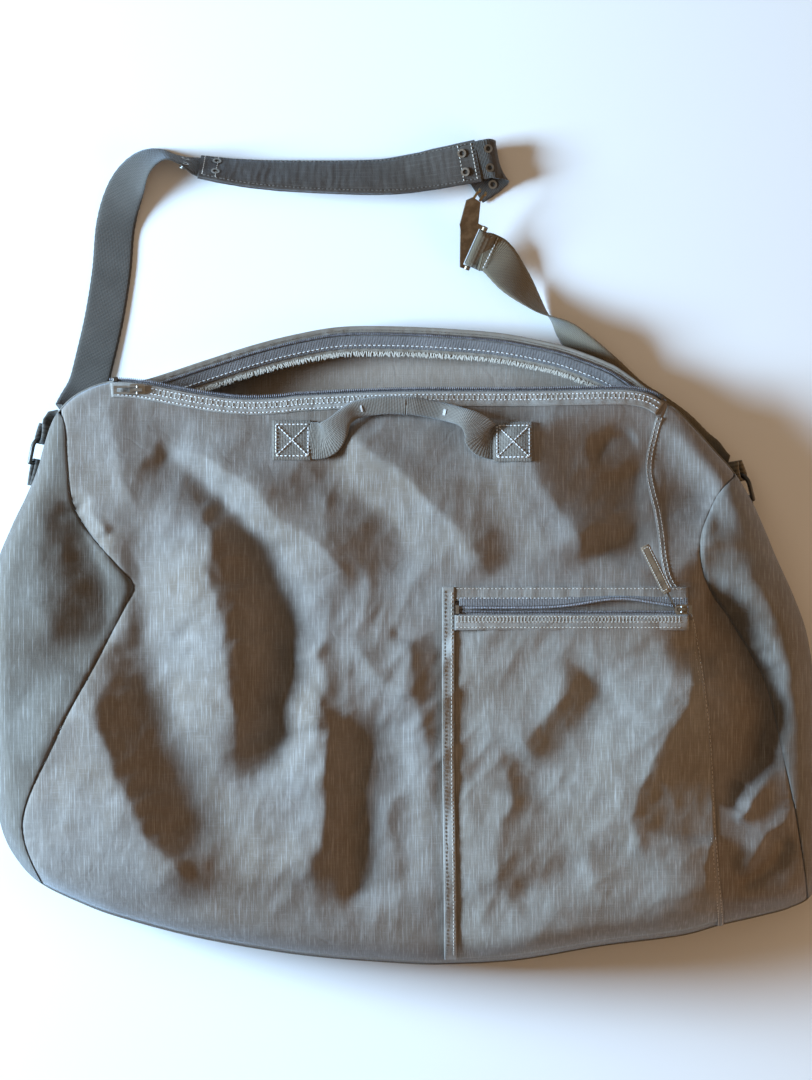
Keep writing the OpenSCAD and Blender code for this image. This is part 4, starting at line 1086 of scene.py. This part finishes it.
left_path = [ring_at("left", RING_LEN + 12.5), ring_at("left", RING_LEN + 18), (-328, 250, 15, -0.8, 0.1, 0.5),
             (-317, 267, 8, -0.97, 0.05, 0.2), (-308, 284, 3.6, -1, -0.15, 0.03),
             (-302, 306, 2.6, -1, -0.25, 0), (-292, 350, 2.2, -1, -0.15, 0), (-285, 395, 2.2, -1, -0.05, 0),
             (-281, 440, 2.5, -1, 0.1, -0.05), (-271, 474, 8, -0.9, 0.5, -0.3),
             (-256, 497, 16, -0.6, 0.6, -0.9), (-236, 506, 20.5, -0.2, 0.35, -1),
             (-219, 502, 20.5, -0.05, 0.3, -1), (-204, 496, 20, 0.05, 0.55, -0.95),
             (-198, 494.5, 20, 0, 0.6, -0.9)]
# The web's across direction starts along the ring's bar and turns until the web lies flat.
strap("strap_web_left", left_path, 31 + 7 * smooth(0, 0.06, np.linspace(0, 1, 260)), WEB,
      ("bag", "strap", (-318, 268, 0), (-300, 340, 0)), 260, ["strap_web_left", "strap_root_left"], 3)

pad_path = [(-200, 495, 20.5, 0, 0.6, -0.9), (-158, 489, 20, 0, 0.7, -0.8), (-107, 486, 19, 0, 0.8, -0.7),
            (-36, 485, 17.5, 0, 0.9, -0.6), (0, 488, 17, -0.1, 0.95, -0.45), (34, 494, 19, -0.15, 1, -0.25),
            (70, 501, 22.5, -0.18, 1, -0.05)]


def pad_shell(name, sign, nodes):
    """One cover of the padded shoulder piece, gathered along its stitched edges."""
    c, a, m, s = frames(pad_path, 420)
    S, W = np.meshgrid(s, np.linspace(-1, 1, 25), indexing="ij")
    flat = smooth(0, 26, S) * smooth(0, 26, s[-1] - S)
    body = (1 - np.abs(W) ** 3.2) ** 0.6
    gather = np.sin(S * 0.8 + 2.6 * noise(S / 12, W * 1.1, 4) + 2.5 * noise(S / 37, W, 6)) * 0.16
    gather = gather * (0.4 + 1.2 * np.abs(noise(S / 40, W * 0, 12)))
    gather = gather + 0.35 * noise(S / 5.5, W * 1.2, 15) + 0.7 * noise(S / 21, W * 0.9, 19)
    h = 1.5 + 2.4 * body * (0.35 + 0.65 * flat) + gather * (0.35 + 0.65 * flat) * (1 - 0.5 * np.abs(W) ** 4)
    h = h - 0.8 * np.exp(-((np.abs(W) - 0.86) / 0.05) ** 2)
    half_w = 20.5 + 0.3 * noise(S / 14, W * 0, 3)
    outer = c[:, None] + a[:, None] * (W * half_w)[..., None] + m[:, None] * (sign * h)[..., None]
    inner = c[:, None] + a[:, None] * (W * half_w * 0.985)[..., None] + m[:, None] * (sign * 0.25)
    outer, inner, uv = (g[:, ::sign] for g in (outer, inner, np.stack([W * 20.5, S], 2)))
    slab(name, outer, inner, PAD, "strap", nodes, uv)
    return c, a, m, s


pc, pa, pm, ps = pad_shell("pad_cover_top", 1, ["pad_cover_top", "pad_foam"])
pad_shell("pad_cover_under", -1, ["pad_cover_under"])

for at in (4, 17, ps[-1] - 17, ps[-1] - 4):
    p, a, m = (pick(at, ps, rows) for rows in (pc, pa, pm))
    line = p + np.linspace(-18.5, 18.5, 14)[:, None] * a + m * 3.0
    sew(("stitches_pad", "strap", "light"), line, m, 2.6, 1.1, 0.4)
keep = (ps >= 4) & (ps <= ps[-1] - 4)
for w in (-17.7, 17.7):
    sew(("stitches_pad_edge", "strap", "dark"), (pc + pa * w + pm * 2.3)[keep], pm[keep], 2.8, 1.2, 0.36)

tail = [(66, 500.3, 23, -0.18, 1, 0), (74, 501.8, 23.3, -0.18, 1, 0), (80.5, 503, 23.4, -0.2, 1, 0),
        (86.5, 502, 19.8, -0.22, 1, 0), (89.3, 500, 12.8, -0.25, 1, 0), (87, 495, 5.8, -0.35, 1, 0.05),
        (79, 487, 2.9, -0.45, 1, 0.03), (64, 477, 2.4, -0.6, 1, 0)]
strap("strap_tail", tail, 38, WEB, "strap", 90, ["strap_tail"], 8, 0.15)

right_path = [ring_at("right", RING_LEN + 10), (284, 221, 12, 0.75, 0.55, 0.35), (262, 242, 9, 0.7, 0.65, 0.2),
              (240, 258, 8, 0.66, 0.7, 0.2), (217, 273, 10, 0.62, 0.72, 0.3), (194, 296, 14, 0.55, 0.7, 0.5),
              (168, 322, 19, 0.4, 0.6, 0.75), (153, 337, 19.5, 0.3, 0.35, 0.9),
              (140.5, 348.6, 19.5, 0.02, 0.02, 1),
              (126, 361, 19.3, -0.25, -0.3, 0.95), (104, 386, 17, -0.55, -0.65, 0.5),
              (86.6, 408.4, 14.6, -0.42, -0.86, 0.1), (74, 413.8, 15.8, -0.4, -0.88, 0.0)]
strap("strap_web_right", np.array(right_path) * (1, 1, 1, -1, -1, -1),
      29 + 9 * smooth(0, 0.07, np.linspace(0, 1, 240)), WEB_OLIVE,
      ("bag", "strap", (175, 318, 0), (116, 372, 0)), 240, ["strap_web_right", "strap_root_right"], 12, 0.2)

# thread at the sewn end by the buckle
end_across = np.array([-0.42, -0.86, 0.1])
end_across /= np.linalg.norm(end_across)
end_line = np.array([81.5, 411.2, 15.6]) + 0.9 * UP + np.linspace(-17.5, 17.5, 20)[:, None] * end_across
sew(("stitches_buckle_end", "strap", "white"), end_line, UP, 2.6, 0.8, 0.45)


def web_loop(name, centre, across, along, up, w, clear, tail, mat, body, nodes=()):
    """A closed loop of webbing round a bar, with its tails running back along -along."""
    centre, across, along, up = (np.array(v, float) for v in (centre, across, along, up))
    ang = np.linspace(-math.pi / 2, math.pi / 2, 15)
    ws = np.linspace(-w / 2, w / 2, 9)

    def side(r, near_end, far_end):
        back = [(-tail * 0.5, r * near_end), (-tail, r * far_end)]
        prof = [(x, -y) for x, y in back[::-1]] + [(r * math.cos(a), r * math.sin(a)) for a in ang] + back
        return np.array([[centre + across * b + along * x + up * y for b in ws] for x, y in prof])
    outer, inner = side(clear + 1.8, 0.85, 0.62), side(clear, 0.8, 0.25)
    if np.dot(np.cross(across, along), up) < 0:
        outer, inner = outer[:, ::-1], inner[:, ::-1]
    s = np.linspace(0, 2 * tail + 3 * clear, len(outer))
    uv = np.stack(np.broadcast_arrays(ws[None], s[:, None]), 2)
    slab(name, outer, inner, mat, body, nodes, uv)


for name, mat in (("left", WEB), ("right", WEB_OLIVE)):
    pos, bar, along = (np.array(v) for v in RINGS[name])
    out = np.cross(bar, along)
    tab = "ring_tab_" + name
    web_loop(tab, pos, bar, along, out, 35, 2.6, 22, WEB, "bag", [tab])
    web_loop("strap_loop_" + name, pos + along * RING_LEN, bar, -along, -out, 35, 4.2, 14, mat, "ring_" + name)
web_loop("strap_loop_buckle", (67.5, 416.5, 17), (0.39, 0.86, 0.3), (-0.91, 0.41, 0.42), (0.24, -0.44, 0.87),
         37, 2.0, 12, WEB_OLIVE, "strap")

# ---- hardware from the CAD frame


def dress(names, mat):
    for n in names:
        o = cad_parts[n]
        o.data.materials.clear()
        o.data.materials.append(mat)
        b = o.modifiers.new("edge", "BEVEL")
        b.width = 0.0003
        b.segments = 2
        b.limit_method = "ANGLE"


dress(["main_slider", "main_pull", "pocket_zip_stops", "pocket_pull_link", "pad_eyelets",
       "strap_eyelets"], DARK_METAL)
dress(["d_ring_left", "d_ring_right"], RING)
dress(["pocket_slider", "buckle_plate", "buckle_bar"], BRONZE)
dress(["buckle_hooks"], BRASS_DARK)

# Sewn pull tab of the pocket zip: where the pull hangs, and the way it points.
PULL_AT, PULL_ANGLE = np.array([258.0, 62.0, 142.3]), math.radians(116)
pull_x = np.array([math.cos(PULL_ANGLE), math.sin(PULL_ANGLE), 0.0])
pull_y = np.array([-math.sin(PULL_ANGLE), math.cos(PULL_ANGLE), 0.0])


def pull_point(s, w, h):
    """A point of the tab, s along it, w to its side and h up. The tab sags towards its end."""
    return PULL_AT + s[..., None] * pull_x + w[..., None] * pull_y + (h - 0.05 * (s - 17.5))[..., None] * UP


S, W = np.meshgrid(np.linspace(17.5, 68, 50), np.linspace(-1, 1, 13), indexing="ij")
w = W * (4.75 * (1 - 0.12 * smooth(64, 68, S)) * (1 - 0.25 * smooth(22, 17.5, S)))
puff = 1.15 + 0.75 * (1 - np.abs(W) ** 4) - 0.45 * np.exp(-((np.abs(W) - 0.72) / 0.09) ** 2)
top, bottom = face_up(pull_point(S, w, puff), pull_point(S, w, -puff))
slab("pocket_pull_tab", top, bottom, LEATHER, "pocket_pull", ["pocket_pull_tab"])
corners = [(21, -3.4), (65.5, -3.4), (65.5, 3.4), (21, 3.4), (21, -3.4)]
t = np.linspace(0, 1, 30)
for (s0, w0), (s1, w1) in zip(corners[:-1], corners[1:]):
    line = pull_point(s0 + (s1 - s0) * t, w0 + (w1 - w0) * t, 1.75)
    sew(("stitches_pull_tab", "pocket_pull", "light"), line, UP, 1.9, 0.7, 0.34, 0.04)

finish_thread()

# ---- floor, light, camera


def floor(size=6, z=-0.0005):
    me = bpy.data.meshes.new("floor")
    corners = [(-size, -size, z), (size, -size, z), (size, size, z), (-size, size, z)]
    me.from_pydata(corners, [], [(0, 1, 2, 3)])
    me.materials.append(Mat("floor").done((0.80, 0.80, 0.795, 1), 0.9))
    link(bpy.data.objects.new("floor", me))


def area(name, loc, target, size, power, color):
    d = bpy.data.lights.new(name, "AREA")
    d.shape = "RECTANGLE"
    d.size = d.size_y = size
    d.energy = power
    d.color = color
    o = link(bpy.data.objects.new(name, d))
    o.location = loc
    o.rotation_euler = (Vector(target) - Vector(loc)).to_track_quat("-Z", "Y").to_euler()


floor()
area("window", (-2.75, 0.35, 1.2), (0, 0, 0.05), 1.1, 345, (0.49, 0.73, 1.0))
area("top", (-0.3, 0.9, 2.6), (0, 0.1, 0), 2.0, 9, (1.0, 0.80, 0.60))
area("room", (2.4, -0.6, 1.2), (0, 0, 0.05), 1.6, 20, (1.0, 0.58, 0.28))
world = bpy.data.worlds.new("world")
world.use_nodes = True
sky = world.node_tree.nodes["Background"].inputs
sky["Color"].default_value = (1.0, 0.79, 0.58, 1)
sky["Strength"].default_value = 0.16
scene = bpy.context.scene
scene.world = world
scene.view_settings.view_transform = "Standard"

# A far camera with a long lens, since the photo shows hardly any perspective.
LENS, SENSOR = 600, 36           # mm
ELEVATION = math.radians(87.5)
AIM = Vector((0, 0.1325, 0.05))
DISTANCE = 0.7795 * LENS / SENSOR + 0.05
camera = link(bpy.data.objects.new("camera", bpy.data.cameras.new("camera")))
camera.data.lens = LENS
camera.data.sensor_width = SENSOR
camera.data.sensor_fit = "HORIZONTAL"
camera.location = AIM + DISTANCE * Vector((0, -math.cos(ELEVATION), math.sin(ELEVATION)))
camera.rotation_euler = (AIM - camera.location).to_track_quat("-Z", "Y").to_euler()
scene.camera = camera
